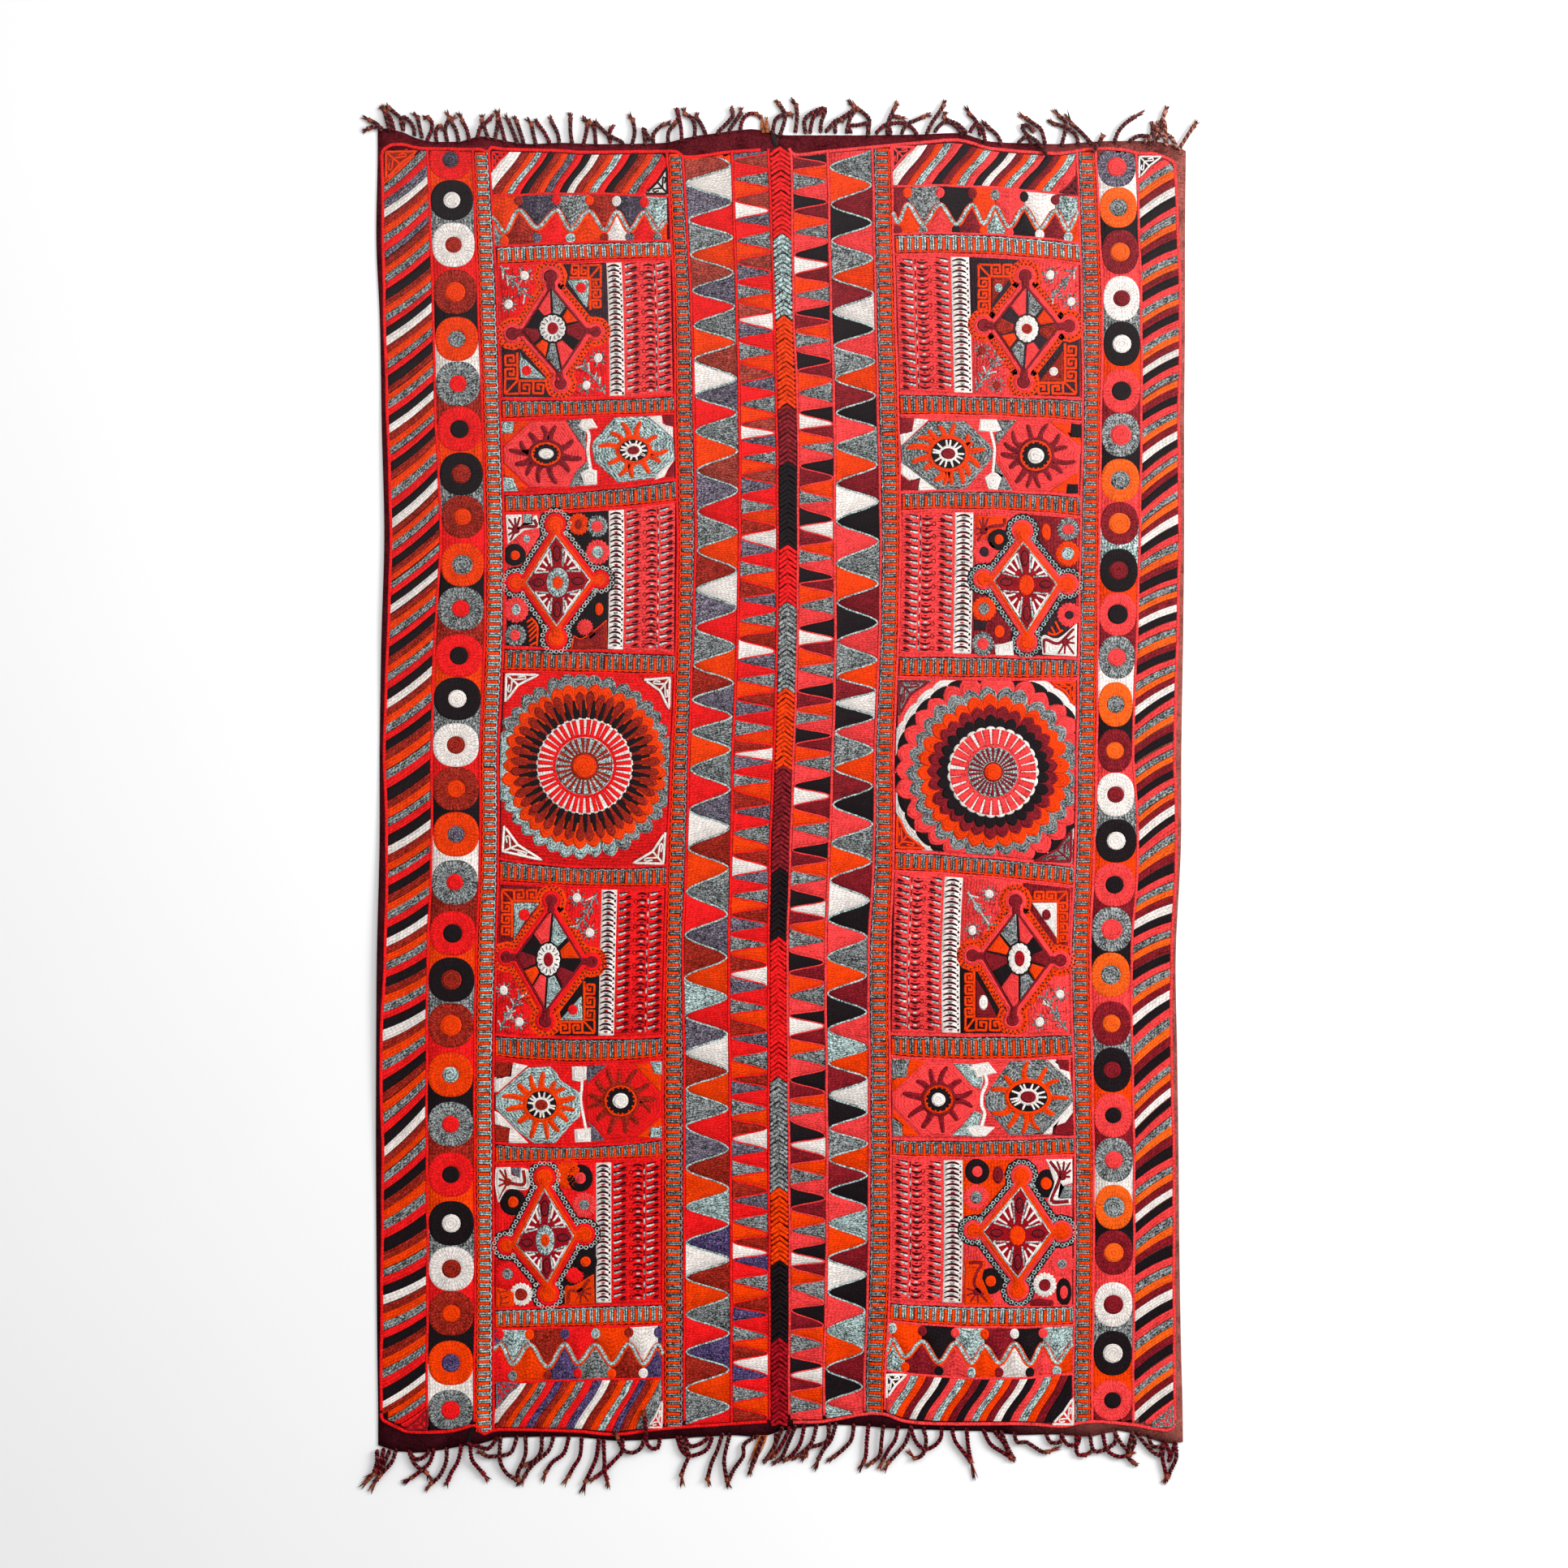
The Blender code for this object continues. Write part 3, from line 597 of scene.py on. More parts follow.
def sewZigzag(work, name):
    plan = zigzagWork[name]
    leftLine, rightLine = plan["lines"]
    colours = " ".join(plan[group] for group in plan["groups"]).split()
    if "tips" in plan:
        tips = numbers(plan["tips"])
        count = len(tips)
        tips = np.concatenate([[2 * tips[0] - tips[1]], tips, [2 * tips[-1] - tips[-2]]])
    else:
        teeth, heights = spots(plan["points"]).T
        count = int(teeth[-1]) + 1
        tips = smoothed(np.arange(-1, count + 1), teeth, heights)
        tips[1:-1] += 0.8 * wobble(len(tips) - 2)
    # the wool that fills the column's two ends, and the y where each stretch of it starts and stops
    for yarn, stretch in zip(plan["ends"].split(), ((184, 210), (tips[-1] - 26, 1775))):
        y = np.linspace(*stretch, 6)
        work.addStrip(*(insideField(paired(lineX(line, y) + inset, y))
                        for line, inset in ((leftLine, 1.6), (rightLine, -1.6))), yarn, lift=0.0001, rise=0.0009)
    pointsRight = [(plan["first"] == "right") == (k % 2 == 1) for k in range(len(tips))]

    def edgeBetween(k):
        # The wavy line from point k to point k + 1
        t = np.linspace(0, 1, 13)
        wave = (1 - np.cos(math.pi * t)) / 2
        wave = np.clip(wave * (1 - plan["point"]) + t * plan["point"], 0, 1)
        y = tips[k] + (tips[k + 1] - tips[k]) * t
        a, b = lineX(leftLine, y) + 2.6, lineX(rightLine, y) - 2.6
        share = 1 - wave if pointsRight[k] else wave
        return paired(a + (b - a) * share, y)

    for k in range(1, min(count, len(colours)) + 1):
        upper, lower = insideField(edgeBetween(k - 1)), insideField(edgeBetween(k)[::-1])
        base = leftLine if pointsRight[k] else rightLine
        inset = 1.6 if pointsRight[k] else -1.6
        # the tooth is a strip whose two edges meet at its point
        a = np.concatenate([[[lineX(base, upper[0, 1]) + inset, upper[0, 1]]], upper])
        b = np.concatenate([[[lineX(base, lower[0, 1]) + inset, lower[0, 1]]], lower])
        a[-1, 1] -= 0.4
        b[-1, 1] += 0.4
        if b[0, 1] - a[0, 1] > 2:
            # the left panel's wools fade towards the top and deepen towards the bottom
            yarn = colours[k - 1]
            if name.startswith("left") and tips[k] < 620:
                yarn = yarn.replace("rust", "brick")
            if name.startswith("left") and tips[k] > 1480:
                yarn = yarn.replace("slate", "violet")
            work.addStrip(a, b, yarn, lift=0.0003, rise=0.0011, rows=max(2, round((b[0, 1] - a[0, 1]) / 4)))
    path = np.concatenate([edgeBetween(k)[:-1] for k in range(count + 1)])
    path = path[(path[:, 1] > fieldEnd("top", path[:, 0]) + 3) & (path[:, 1] < fieldEnd("bottom", path[:, 0]) - 3)]
    work.addBand(path, plan["cordWidth"], plan["cord"], lift=0.0012, rise=0.0008, rows=1, stitch=4.5)


# Ladders: a cord that winds to and fro over bars of orange

def sewLadderBars(work, placeOf, count, grey, flip=1):
    # placeOf(along, across) gives a place, along the ladder in bars and across it from 0 to 1
    for bar in range(count):
        stray = 0.10 * wobble()
        across = np.linspace(0.06, 0.87, 5)
        across = across if flip > 0 else 1 - across
        middle = bar + 0.26 + stray * 0.4
        tilt = 0.04 * wobble()
        lines = [placeOf(middle + edge + tilt * (across - 0.5), across) for edge in (-0.22, 0.22)]
        work.addStrip(lines[0], lines[1], "orange", lift=0.0003, rise=0.0012, rows=1)
        across = np.linspace(0.06, 0.87, 5)
        across = 1 - across if flip > 0 else across
        middle = bar + 0.76 + stray * 0.4
        for near, far in ((-0.27, -0.03), (0.03, 0.27)):
            work.addStrip(*(placeOf(middle + edge + tilt * (across - 0.5), across) for edge in (near, far)), grey,
                          lift=0.0004, rise=0.0013, rows=1, stitch=3.4)
    along = np.linspace(0.05, count - 0.05, count * 4)
    for yarn, across, lift in (("orange", 0.045, 0.0005), (grey, 0.955, 0.0006)):
        across = across if flip > 0 else 1 - across
        wave = 0.03 * np.cos(2 * math.pi * (along - 0.26))
        work.addBand(placeOf(along, across + wave), 1.9, yarn, lift=lift, rise=0.0012, **oneRow)


def sewLadderColumn(work, leftLine, rightLine, flip):
    first, last = (fieldEnd(end, (lineX(leftLine, y) + lineX(rightLine, y)) / 2) + inset
                   for end, y, inset in (("top", 190, 2.5), ("bottom", 1740, -2)))
    count = int((last - first) / 8.9)

    def place(along, across):
        y = first + (last - first) * np.asarray(along) / count + 0 * across
        a, b = lineX(leftLine, y) + 2.4, lineX(rightLine, y) - 2.2
        return paired(a + (b - a) * across, y)

    sewLadderBars(work, place, count, "aqua" if leftLine.endswith("Disc") else "grey", flip)


def sewLadderRow(work, side, above, below, grey):
    def place(along, across):
        share = np.asarray(along) / count * 0.985 + 0.01 + 0 * across
        top, bottom = rowY(side, above, share) + 2.6, rowY(side, below, share) - 2.4
        y = top + (bottom - top) * across
        a, b = lineX(side + "BlockA", y), lineX(side + "BlockB", y)
        return paired(a + (b - a) * share, y)

    count = 24
    sewLadderBars(work, place, count, grey, -1)


def sewCords(work, side):
    # Single rows of red stitching between the columns and the rows
    colour = panelRed[side]
    lines = [name for name in columnLines if name.startswith(side)]
    for name in lines:
        width = 4.2 if name.endswith("Cord") else 3.6
        x = lineX(name, 190.0)
        y = np.arange(fieldEnd("top", x), fieldEnd("bottom", lineX(name, 1740.0)), 9.0)
        work.addBand(paired(lineX(name, y) + 0.3 * np.sin(y / 17), y), width, colour, lift=0.0007,
                     rise=0.0014, rows=1, stitch=4.5)
    for name in list(rowLines[side])[1:-1]:
        share = np.linspace(0, 1, 24)
        y = rowY(side, name, share)
        x = lineX(side + "BlockA", y) * (1 - share) + lineX(side + "BlockB", y) * share
        work.addBand(paired(x, y + 0.4 * np.sin(x / 11)), 3.6, colour, lift=0.0007, rise=0.0014, rows=1,
                     stitch=4.5)
    braidEdges = (953, 971)
    for end in ("top", "bottom"):
        x, y = fieldEnds[end].T
        outer = lineX(side + "Cord", y)
        within = (x < braidEdges[0]) & (x > outer) if side == "left" else (x > braidEdges[1]) & (x < outer)
        line = curve(fieldEnds[end][within], 6)
        inward = 1 if end == "top" else -1
        cornerX, cornerY = line[0 if side == "left" else -1]
        x = lineX(side + "Cord", cornerY)
        bend = [(x, cornerY + 9 * inward), (x + (cornerX - x) * 0.25, cornerY + 3 * inward)]
        line = np.concatenate([bend, line] if side == "left" else [line, bend[::-1]])
        work.addBand(curve(line, 4), 4.2, colour, lift=0.0008, rise=0.0014, rows=1, stitch=4.5)


# Motifs that the blocks share

def sewBlockField(work, side, above, below, yarn):
    share = np.linspace(0.01, 0.99, 18)
    work.addStrip(*(inBlock(side, above, below, share, depth + 0 * share) for depth in (0.0, 1.0)), yarn, lift=0.0001,
                  rise=0.0009)


def sewPatches(work, patches, lift=0.0004):
    # "yarn x,y x,y ..." for each patch
    for number, entry in enumerate(entriesOf(patches)):
        yarn, outline = entry.split(maxsplit=1)
        work.addPad(dense(spots(outline)), yarn, lift=lift + 0.00004 * (number % 4), rise=0.0011)


def dense(outline, step=4.0):
    # More points along straight sides, so that the pad follows the cloth
    outline = np.asarray(outline, float)
    line = []
    for a, b in zip(outline, np.roll(outline, -1, axis=0)):
        count = max(1, int(norm(b - a) / step))
        line.append(a + (b - a) * (np.arange(count) / count)[:, None])
    return np.concatenate(line)


def sewTriangle(work, corners, line, ground, bow=0.10):
    # A corner piece with its long side bowed in: an outline, a line that halves it, and a hook in each half
    corners = spots(corners)
    square, far = corners[1], (corners[0] + corners[2]) / 2
    reach = norm(far - square)
    bowed = far + (square - far) * bow
    outline = np.array([corners[0], square, corners[2], bowed])
    middle = outline.mean(axis=0)
    work.addPad(dense(outline), ground, lift=0.0012, rise=0.0008)
    inner = middle + (outline - middle) * 0.87
    width = 3.0 if reach > 22 else 2.5

    def thread(path, thick):
        work.addBand(path, thick, line, lift=0.0020, rise=0.0006, rows=1, stitch=3, edgeShade=0.2)

    thread(dense(np.concatenate([inner, inner[:1]]), 3)[:-1], width)
    if reach < 13:
        return
    thread(np.linspace(inner[1], inner[3], 6), width * 0.85)
    for end in (0, 2):
        core = (inner[1] + inner[end] + inner[3]) / 3
        path = [inner[1] * 0.5 + inner[3] * 0.5, core * 0.45 + inner[end] * 0.32 + inner[3] * 0.23,
                core * 0.5 + inner[end] * 0.36 + inner[1] * 0.14, core * 0.8 + inner[1] * 0.2]
        thread(curve(path, 2.0), width * 0.72)


def sewLoops(work, path, yarn, size=2.9, step=5.6, lift=0.0009):
    # A chain of small rings along a path
    run = runOf(path)
    for place in np.arange(step / 2, run[-1], step):
        x, y = np.interp(place, run, path[:, 0]), np.interp(place, run, path[:, 1])
        stray = 0.35 * wobble(2)
        work.addRing((x + stray[0], y + stray[1]), (size, size * 0.96), (size * 0.42, size * 0.40), yarn, lift=lift,
                     rise=0.0007, sides=9, lay="round")


def sewPetals(work, centre, boundary, petals, inner, lift):
    # Wedges between an inner oval and a boundary, "angle:yarn" each, that leave a thin line to the next one
    ring = boundary - centre
    angles = np.degrees(np.arctan2(ring[:, 1], ring[:, 0]))
    order = np.argsort(angles)
    angles, reach = angles[order], norm(ring, axis=1)[order]
    angles = np.concatenate([angles - 360, angles, angles + 360])
    reach = np.tile(reach, 3)
    petals = sorted((float(angle) % 360, yarn) for angle, yarn in (entry.split(":") for entry in petals.split()))
    for number, (angle, yarn) in enumerate(petals):
        gaps = [abs((petals[(number + step) % len(petals)][0] - angle + 180) % 360 - 180) for step in (-1, 1)]
        before, after = (min(gap / 2 - 0.6, 21) for gap in gaps)
        line = []
        for share in np.linspace(-1, 1, 9):
            turn = math.radians(angle + share * (before if share < 0 else after) * 0.96)
            r = np.interp((math.degrees(turn) + 180) % 360 - 180, angles, reach)
            line.append(centre + r * towards(turn))
        for share in (0.8, 0, -0.8):
            turn = math.radians(angle + share * (before if share < 0 else after))
            r = 1 / math.hypot(*towards(turn) / inner) + (0.4 if share else -0.4)
            line.append(centre + r * towards(turn))
        work.addPad(dense(line, 4), yarn, lift=lift, rise=0.0009)


# Blocks of slanting stripes and of waves, at the two ends of each panel

slantWork = {
    # colours from the left; number, x at the top and x at the bottom of some of them
    ("left", "top", "stripes"): (
        """white rust orange aqua scarlet black rust orange slate scarlet black white rust orange aqua scarlet black
        rust orange grey scarlet""",
        """0,637,594 1,648,612 3,665,627 5,679,645 8,705,675 11,734,702 14,762,730 16,782,748 18,802,768 20,821,787"""),
    ("right", "top", "stripes"): (
        """white maroon orange aqua coral black maroon orange aqua coral black white maroon orange aqua coral black
        maroon orange aqua coral""",
        """0,1138,1097 1,1148,1112 3,1168,1130 5,1193,1152 8,1216,1183 11,1248,1213 14,1275,1240 16,1293,1259
        19,1321,1287 20,1333,1298"""),
    ("left", "wave2", "stripes2"): (
        """white rust orange grey scarlet violet rust orange grey scarlet violet white rust orange aqua scarlet violet
        rust orange grey""",
        """0,646,603 1,654,616 3,669,634 5,690,652 8,716,681 11,748,712 14,778,741 16,793,758 19,818,788"""),
    ("right", "wave2", "stripes2"): (
        """coral aqua orange maroon white black coral aqua orange maroon black coral aqua orange maroon white black
        coral aqua orange maroon black""",
        """0,1118,1090 5,1166,1133 10,1215,1182 15,1262,1228 21,1322,1291"""),
}

# corner triangles of those blocks and of the outer columns: corners, line, ground
cornerWork = {
    "left": (
        ("474,225 474,186 517,185", "orange", "rust"),
        ("606,213 606,187 628,187", "scarlet", "black"),
        ("793,241 824,241 823,204", "black", "white"),
        ("611,1737 611,1702 643,1703", "slate", "scarlet"),
        ("797,1760 816,1760 817,1723", "white", "scarlet"),
        ("497,1762 527,1762 528,1733", "maroon", "scarlet"),
    ),
    "right": (
        ("1099,212 1098,180 1130,180", "coral", "black"),
        ("1300,242 1329,242 1328,214", "maroon", "black"),
        ("1402,222 1402,192 1433,192", "white", "black"),
        ("1091,1724 1091,1691 1119,1692", "white", "black"),
        ("1294,1756 1323,1756 1323,1719", "white", "scarlet"),
        ("1416,1759 1447,1758 1446,1728", "grey", "coral"),
    ),
}

waveWork = {
    # x, y of the wave's turns, the wools above it and below it, and the dots that stand over and under its turns
    ("left", "stripes", "wave"): {
        "turns": """606,268 622,286 639,259 662,281 686,259 703,284 726,260 745,284 760,261 776,284 794,262 810,285
            822,272""",
        "above": "orange dusk grey rust dusk aqua",
        "aboveDots": "rust scarlet orange white scarlet aqua",
        "below": "grey rust scarlet orange white scarlet orange",
        "belowDots": "orange slate aqua rust slate grey",
    },
    ("right", "stripes", "wave"): {
        "turns": """1099,262 1106,275 1118,252 1137,277 1158,252 1178,277 1198,252 1212,276 1226,255 1243,280
            1262,256 1281,282 1300,260 1316,284 1330,262""",
        "above": "maroon grey black orange coral white aqua",
        "aboveDots": "orange coral maroon grey black maroon",
        "below": "maroon orange coral maroon aqua black maroon orange",
        "belowDots": "maroon grey black orange coral white aqua",
    },
    ("left", "ladder8", "wave2"): {
        "turns": """608,1662 616,1655 632,1681 653,1656 675,1684 696,1655 712,1678 734,1656 754,1680 775,1655
            793,1680 811,1656 818,1668""",
        "above": "violet aqua rust scarlet orange white violet",
        "aboveDots": "scarlet orange violet aqua rust violet",
        "below": "scarlet orange violet grey rust violet",
        "belowDots": "grey rust scarlet orange white",
    },
    ("right", "ladder8", "wave2"): {
        "turns": """1092,1664 1099,1649 1115,1671 1136,1652 1157,1678 1177,1654 1197,1679 1213,1658 1231,1679
            1250,1655 1269,1680 1285,1655 1302,1679 1322,1656""",
        "above": "coral orange black aqua maroon black aqua orange",
        "aboveDots": "aqua maroon coral orange white coral",
        "below": "aqua maroon coral orange white coral orange",
        "belowDots": "orange black aqua maroon black aqua",
    },
}


def sewSlants(work, side, above, below):
    colours, anchors = slantWork[side, above, below]
    colours = colours.split()
    marked, tops, bottoms = spots(anchors).T
    share = np.linspace(0, 1, 9)
    a = lineX(side + "BlockA", rowY(side, above, 0)) + 1.5
    b = lineX(side + "BlockB", rowY(side, above, 1)) - 1.5

    def edge(number):
        past = min(number, 0) + max(number - marked[-1], 0)
        x = (np.interp(number, marked, tops) * (1 - share) + np.interp(number, marked, bottoms) * share) + 9.4 * past
        x = x + 1.3 * np.sin(share * math.pi * 2)
        across = np.clip((x - a) / (b - a), 0, 1)
        top = rowY(side, above, across) if above != "top" else fieldEnd("top", x) + 3
        bottom = rowY(side, below, across) if below != "stripes2" else fieldEnd("bottom", x) - 3
        return paired(np.clip(x, a, b), top * (1 - share) + bottom * share)

    for number, name in enumerate(colours):
        first = edge(number - (0.5 if number else 1.4))
        last = edge(number + (0.5 if number < len(colours) - 1 else 3.6))
        keep = abs(last[:, 0] - first[:, 0]) > 1.5
        if keep.sum() > 2:
            work.addStrip(first[keep], last[keep], name, lift=0.0003, rise=0.0011)


def sewWave(work, side, above, below):
    plan = waveWork[side, above, below]
    turns = spots(plan["turns"])
    line = []
    for a, b in zip(turns[:-1], turns[1:]):
        t = np.linspace(0, 1, 11)[:-1]
        wave = 0.85 * (1 - np.cos(math.pi * t)) / 2 + 0.15 * t
        line.append(paired(a[0] + (b[0] - a[0]) * t, a[1] + (b[1] - a[1]) * wave))
    line = np.concatenate(line + [turns[-1:]])
    left, right = line[0, 0], line[-1, 0]

    def edgeY(name, x):
        return rowY(side, name, (x - left) / (right - left))

    peaks = [turn for k, turn in enumerate(turns) if 0 < k < len(turns) - 1 and turn[1] < turns[k - 1][1]]
    dips = [turn for k, turn in enumerate(turns) if 0 < k < len(turns) - 1 and turn[1] > turns[k - 1][1]]
    for name, marks, wools, dots in ((above, peaks, plan["above"], plan["aboveDots"]),
                                     (below, dips, plan["below"], plan["belowDots"])):
        bounds = [left] + [mark[0] for mark in marks] + [right]
        for k, yarn in enumerate(wools.split()[:len(bounds) - 1]):
            x = np.linspace(bounds[k], bounds[k + 1], max(4, int((bounds[k + 1] - bounds[k]) / 3)))
            outer = paired(x, edgeY(name, x))
            inner = paired(x, np.interp(x, line[:, 0], line[:, 1]))
            work.addStrip(outer, inner, yarn, lift=0.0003, rise=0.0011)
        for mark, yarn in zip(marks, dots.split()):
            y = edgeY(name, mark[0])
            middle = y + (mark[1] - y) * 0.38
            work.addPad(oval((mark[0], middle), 5.8, 6.6, sides=14, uneven=0.05), yarn, lift=0.0011, rise=0.0009)
    work.addBand(line + (0, 1.0), 7.6, "orange", lift=0.0014, rise=0.0005, rows=2, edgeShade=0.3)
    work.addBand(line, 4.3, "aqua", lift=0.0019, rise=0.0006, **oneRow, edgeShade=0.25)


# Lace columns: openwork of curved bars over dark cloth

def sewLace(work, side, above, below, left, right, yarn, kind, facing=1):
    # kind is "bars" (white column), "eyes" (outer coral columns) or "arcs" (middle coral column)
    sample = inBlock(side, above, below, (left + right) / 2, np.array([0.0, 1.0]))
    length = sample[1, 1] - sample[0, 1]
    top = 0.0012 if kind == "bars" else 0.0009

    def place(share, depth, down=0.0):
        # share of the way across, depth of the way down the column, and steps further down
        share = np.asarray(share, float)
        share = share if facing > 0 else 1 - share
        return inBlock(side, above, below, left + (right - left) * share, depth + np.asarray(down, float) / length)

    def bead(where, halves, shade):
        work.addPad(oval(where, *halves, sides=8), shade, lift=top, rise=0.0006)

    def thread(shares, mark, down, widths, shade):
        work.addBand(place(shares, mark, down), widths, shade, lift=top + 0.00005, rise=0.0006, rows=1, edgeShade=0.2)

    count = int(length * 0.95 / {"bars": 6.6, "eyes": 9.3, "arcs": 7.7}[kind])
    marks = 0.03 + 0.94 / count * (np.arange(count) + 0.5 + 0.04 * wobble(count))
    if kind == "bars":
        depth = np.linspace(0.015, 0.985, 28)
        work.addStrip(place(-0.03, depth), place(1.03, depth), yarn, lift=0.0003, rise=0.0010, rows=2)
    for number, mark in enumerate(marks):
        other = number % 2
        if kind == "eyes":
            size = 0.78 + 0.2 * chance.random()
            eye = np.array([(-6.4, 1.8), (-2.0, -1.0), (1.2, -2.7), (4.9, -1.4), (2.4, 1.9), (-2.0, 2.4)]) * size
            work.addPad(place(0.67, mark, 1.0) + eye * (facing, 1), "wine", lift=top, rise=0.0006)
            shade = "ash" if chance.random() < 0.6 else "aqua"
            thread((0.04, 0.28, 0.55), mark, (-0.8, -1.9, -3.4), (3.0, 2.7, 1.5), shade)
            thread((0.04, 0.30, 0.62, 0.8), mark, (-3.4, -4.2, -5.2, -5.6), (2.0, 1.9, 1.1, 0.6), "wine")
            thread((0.36, 0.62, 0.97), mark, (4.0, 4.3, 3.2), (0.6, 1.3, 0.9), "wine")
            continue
        first, last, lower = (0.06, 0.84, 2.5) if kind == "bars" else (0.20, 0.88, 2.2)
        across = np.linspace(first, last, 7)
        dip = np.sin((across - first) / (last - first) * math.pi) ** 0.8
        thread(across, mark, -facing * lower * dip, np.array([1.2, 2.0, 2.7, 3.1, 3.1, 2.7, 1.6]), "wine")
        if kind == "bars":
            bead(place(0.47, mark, facing * 1.4), (2.9, 1.2) if other else (3.2, 1.5), "crimson" if other else "grey")
            bead(place(0.90, mark, facing * 2.0), (1.4, 2.0) if other else (1.3, 1.2), "wine" if other else "grey")
            continue
        bead(place(0.57, mark, facing * 1.8), (2.7, 1.3) if other else (2.3, 0.9), "ash" if other else "wine")
        if other:
            work.addRing(place(0.12, mark), (2.9, 3.1), (2.0, 2.2), "wine", lift=top, rise=0.0006, sides=9)
            thread((0.98, 0.98, 0.99), mark, (-3.2, 0, 3.2), 2.1, "aqua")
        else:
            thread((0.98, 0.97, 0.98), mark, (-3.6, 0, 3.6), 1.4, "wine")


laceWork = {
    # block: share of the block where the coral columns lie, where the white one lies
    ("left", "ladder1", "keys1"): ((0.722, 0.992), (0.628, 0.712)),
    ("left", "ladder3", "flower1"): ((0.700, 0.992), (0.606, 0.692)),
    ("left", "ladder5", "keys2"): ((0.716, 0.992), (0.618, 0.708)),
    ("left", "ladder7", "flower2"): ((0.702, 0.992), (0.606, 0.694)),
    ("right", "ladder1", "keys1"): ((0.012, 0.298), (0.306, 0.402)),
    ("right", "ladder3", "flower1"): ((0.012, 0.298), (0.306, 0.404)),
    ("right", "ladder5", "keys2"): ((0.012, 0.280), (0.288, 0.386)),
    ("right", "ladder7", "flower2"): ((0.012, 0.280), (0.290, 0.390)),
}


def sewLaceColumns(work, side, above, below):
    coral, white = laceWork[side, above, below]
    name = "scarlet" if side == "left" and above in ("ladder5", "ladder7") else "coral"
    sewBlockField(work, side, above, below, name)
    thirds = np.linspace(coral[0], coral[1], 4)
    for k, kind in enumerate(("eyes", "arcs", "eyes")):
        sewLace(work, side, above, below, thirds[k] + 0.004, thirds[k + 1] - 0.004, name, kind, hand[side])
    sewLace(work, side, above, below, white[0], white[1], "white", "bars")


# Shapes that the blocks share: dotted discs, suns, hands, combs and outlined diamonds

def lobed(centre, radius, count, depth, teeth=False, turn=0.0):
    # A round outline with bumps of a given depth, or with teeth
    share = np.linspace(-1, 1, 7)[:-1] if teeth else np.sin(np.linspace(-math.pi / 2, math.pi / 2, 7)[:-1])
    angle = (turn + (np.arange(count)[:, None] + share[None] / 2) * 2 * math.pi / count).ravel()
    bump = np.tile(abs(share) if teeth else 1 - np.sqrt(1 - share ** 2), count)
    halves = np.broadcast_to(np.asarray(radius, float), (2,))
    return paired(centre[0] + (halves[0] - depth * bump) * np.cos(angle),
                  centre[1] + (halves[1] - depth * bump) * np.sin(angle))


def sewDiscs(work, discs):
    # "x y half width half height yarn, dot's half width and half height, its yarn, and f for a ragged edge"
    for entry in entriesOf(discs):
        x, y, halfX, halfY, yarn, dotX, dotY, dotYarn, *edge = entry.split()
        x, y, halfX, halfY, dotX, dotY = (float(value) for value in (x, y, halfX, halfY, dotX, dotY))
        if edge:
            outline = lobed((x, y), (halfX, halfY), 17, 1.9, True, chance.random() * 3)
        else:
            outline = oval((x, y), halfX, halfY, sides=26, uneven=0.03)
        if halfX > dotX:
            work.addPad(outline, yarn, lift=0.0009, rise=0.0010, lay="spokes")
        work.addPad(oval((x, y), dotX, dotY, sides=18, uneven=0.05), dotYarn, lift=0.0014, rise=0.0010)


def sewStrokes(work, strokes, lift=0.0017):
    # "yarn width x,y x,y ..." with one line of stitches for each entry
    for entry in entriesOf(strokes):
        yarn, width, *places = entry.split()
        work.addBand(curve(spots(" ".join(places)), 3.0), float(width), yarn, lift=lift, rise=0.0008, **oneRow)


def sewFingers(work, palm, tips, yarn, width=3.9):
    # A small hand: bars from the palm to each tip
    for tip in spots(tips):
        work.addBand(np.linspace(palm, tip, 5), np.array([width + 0.8, width, width, width, width * 0.8]), yarn,
                     lift=0.0016, rise=0.0008, **oneRow)
    work.addPad(oval(palm, 5.4, 5.4, sides=14), yarn, lift=0.0017, rise=0.0008)


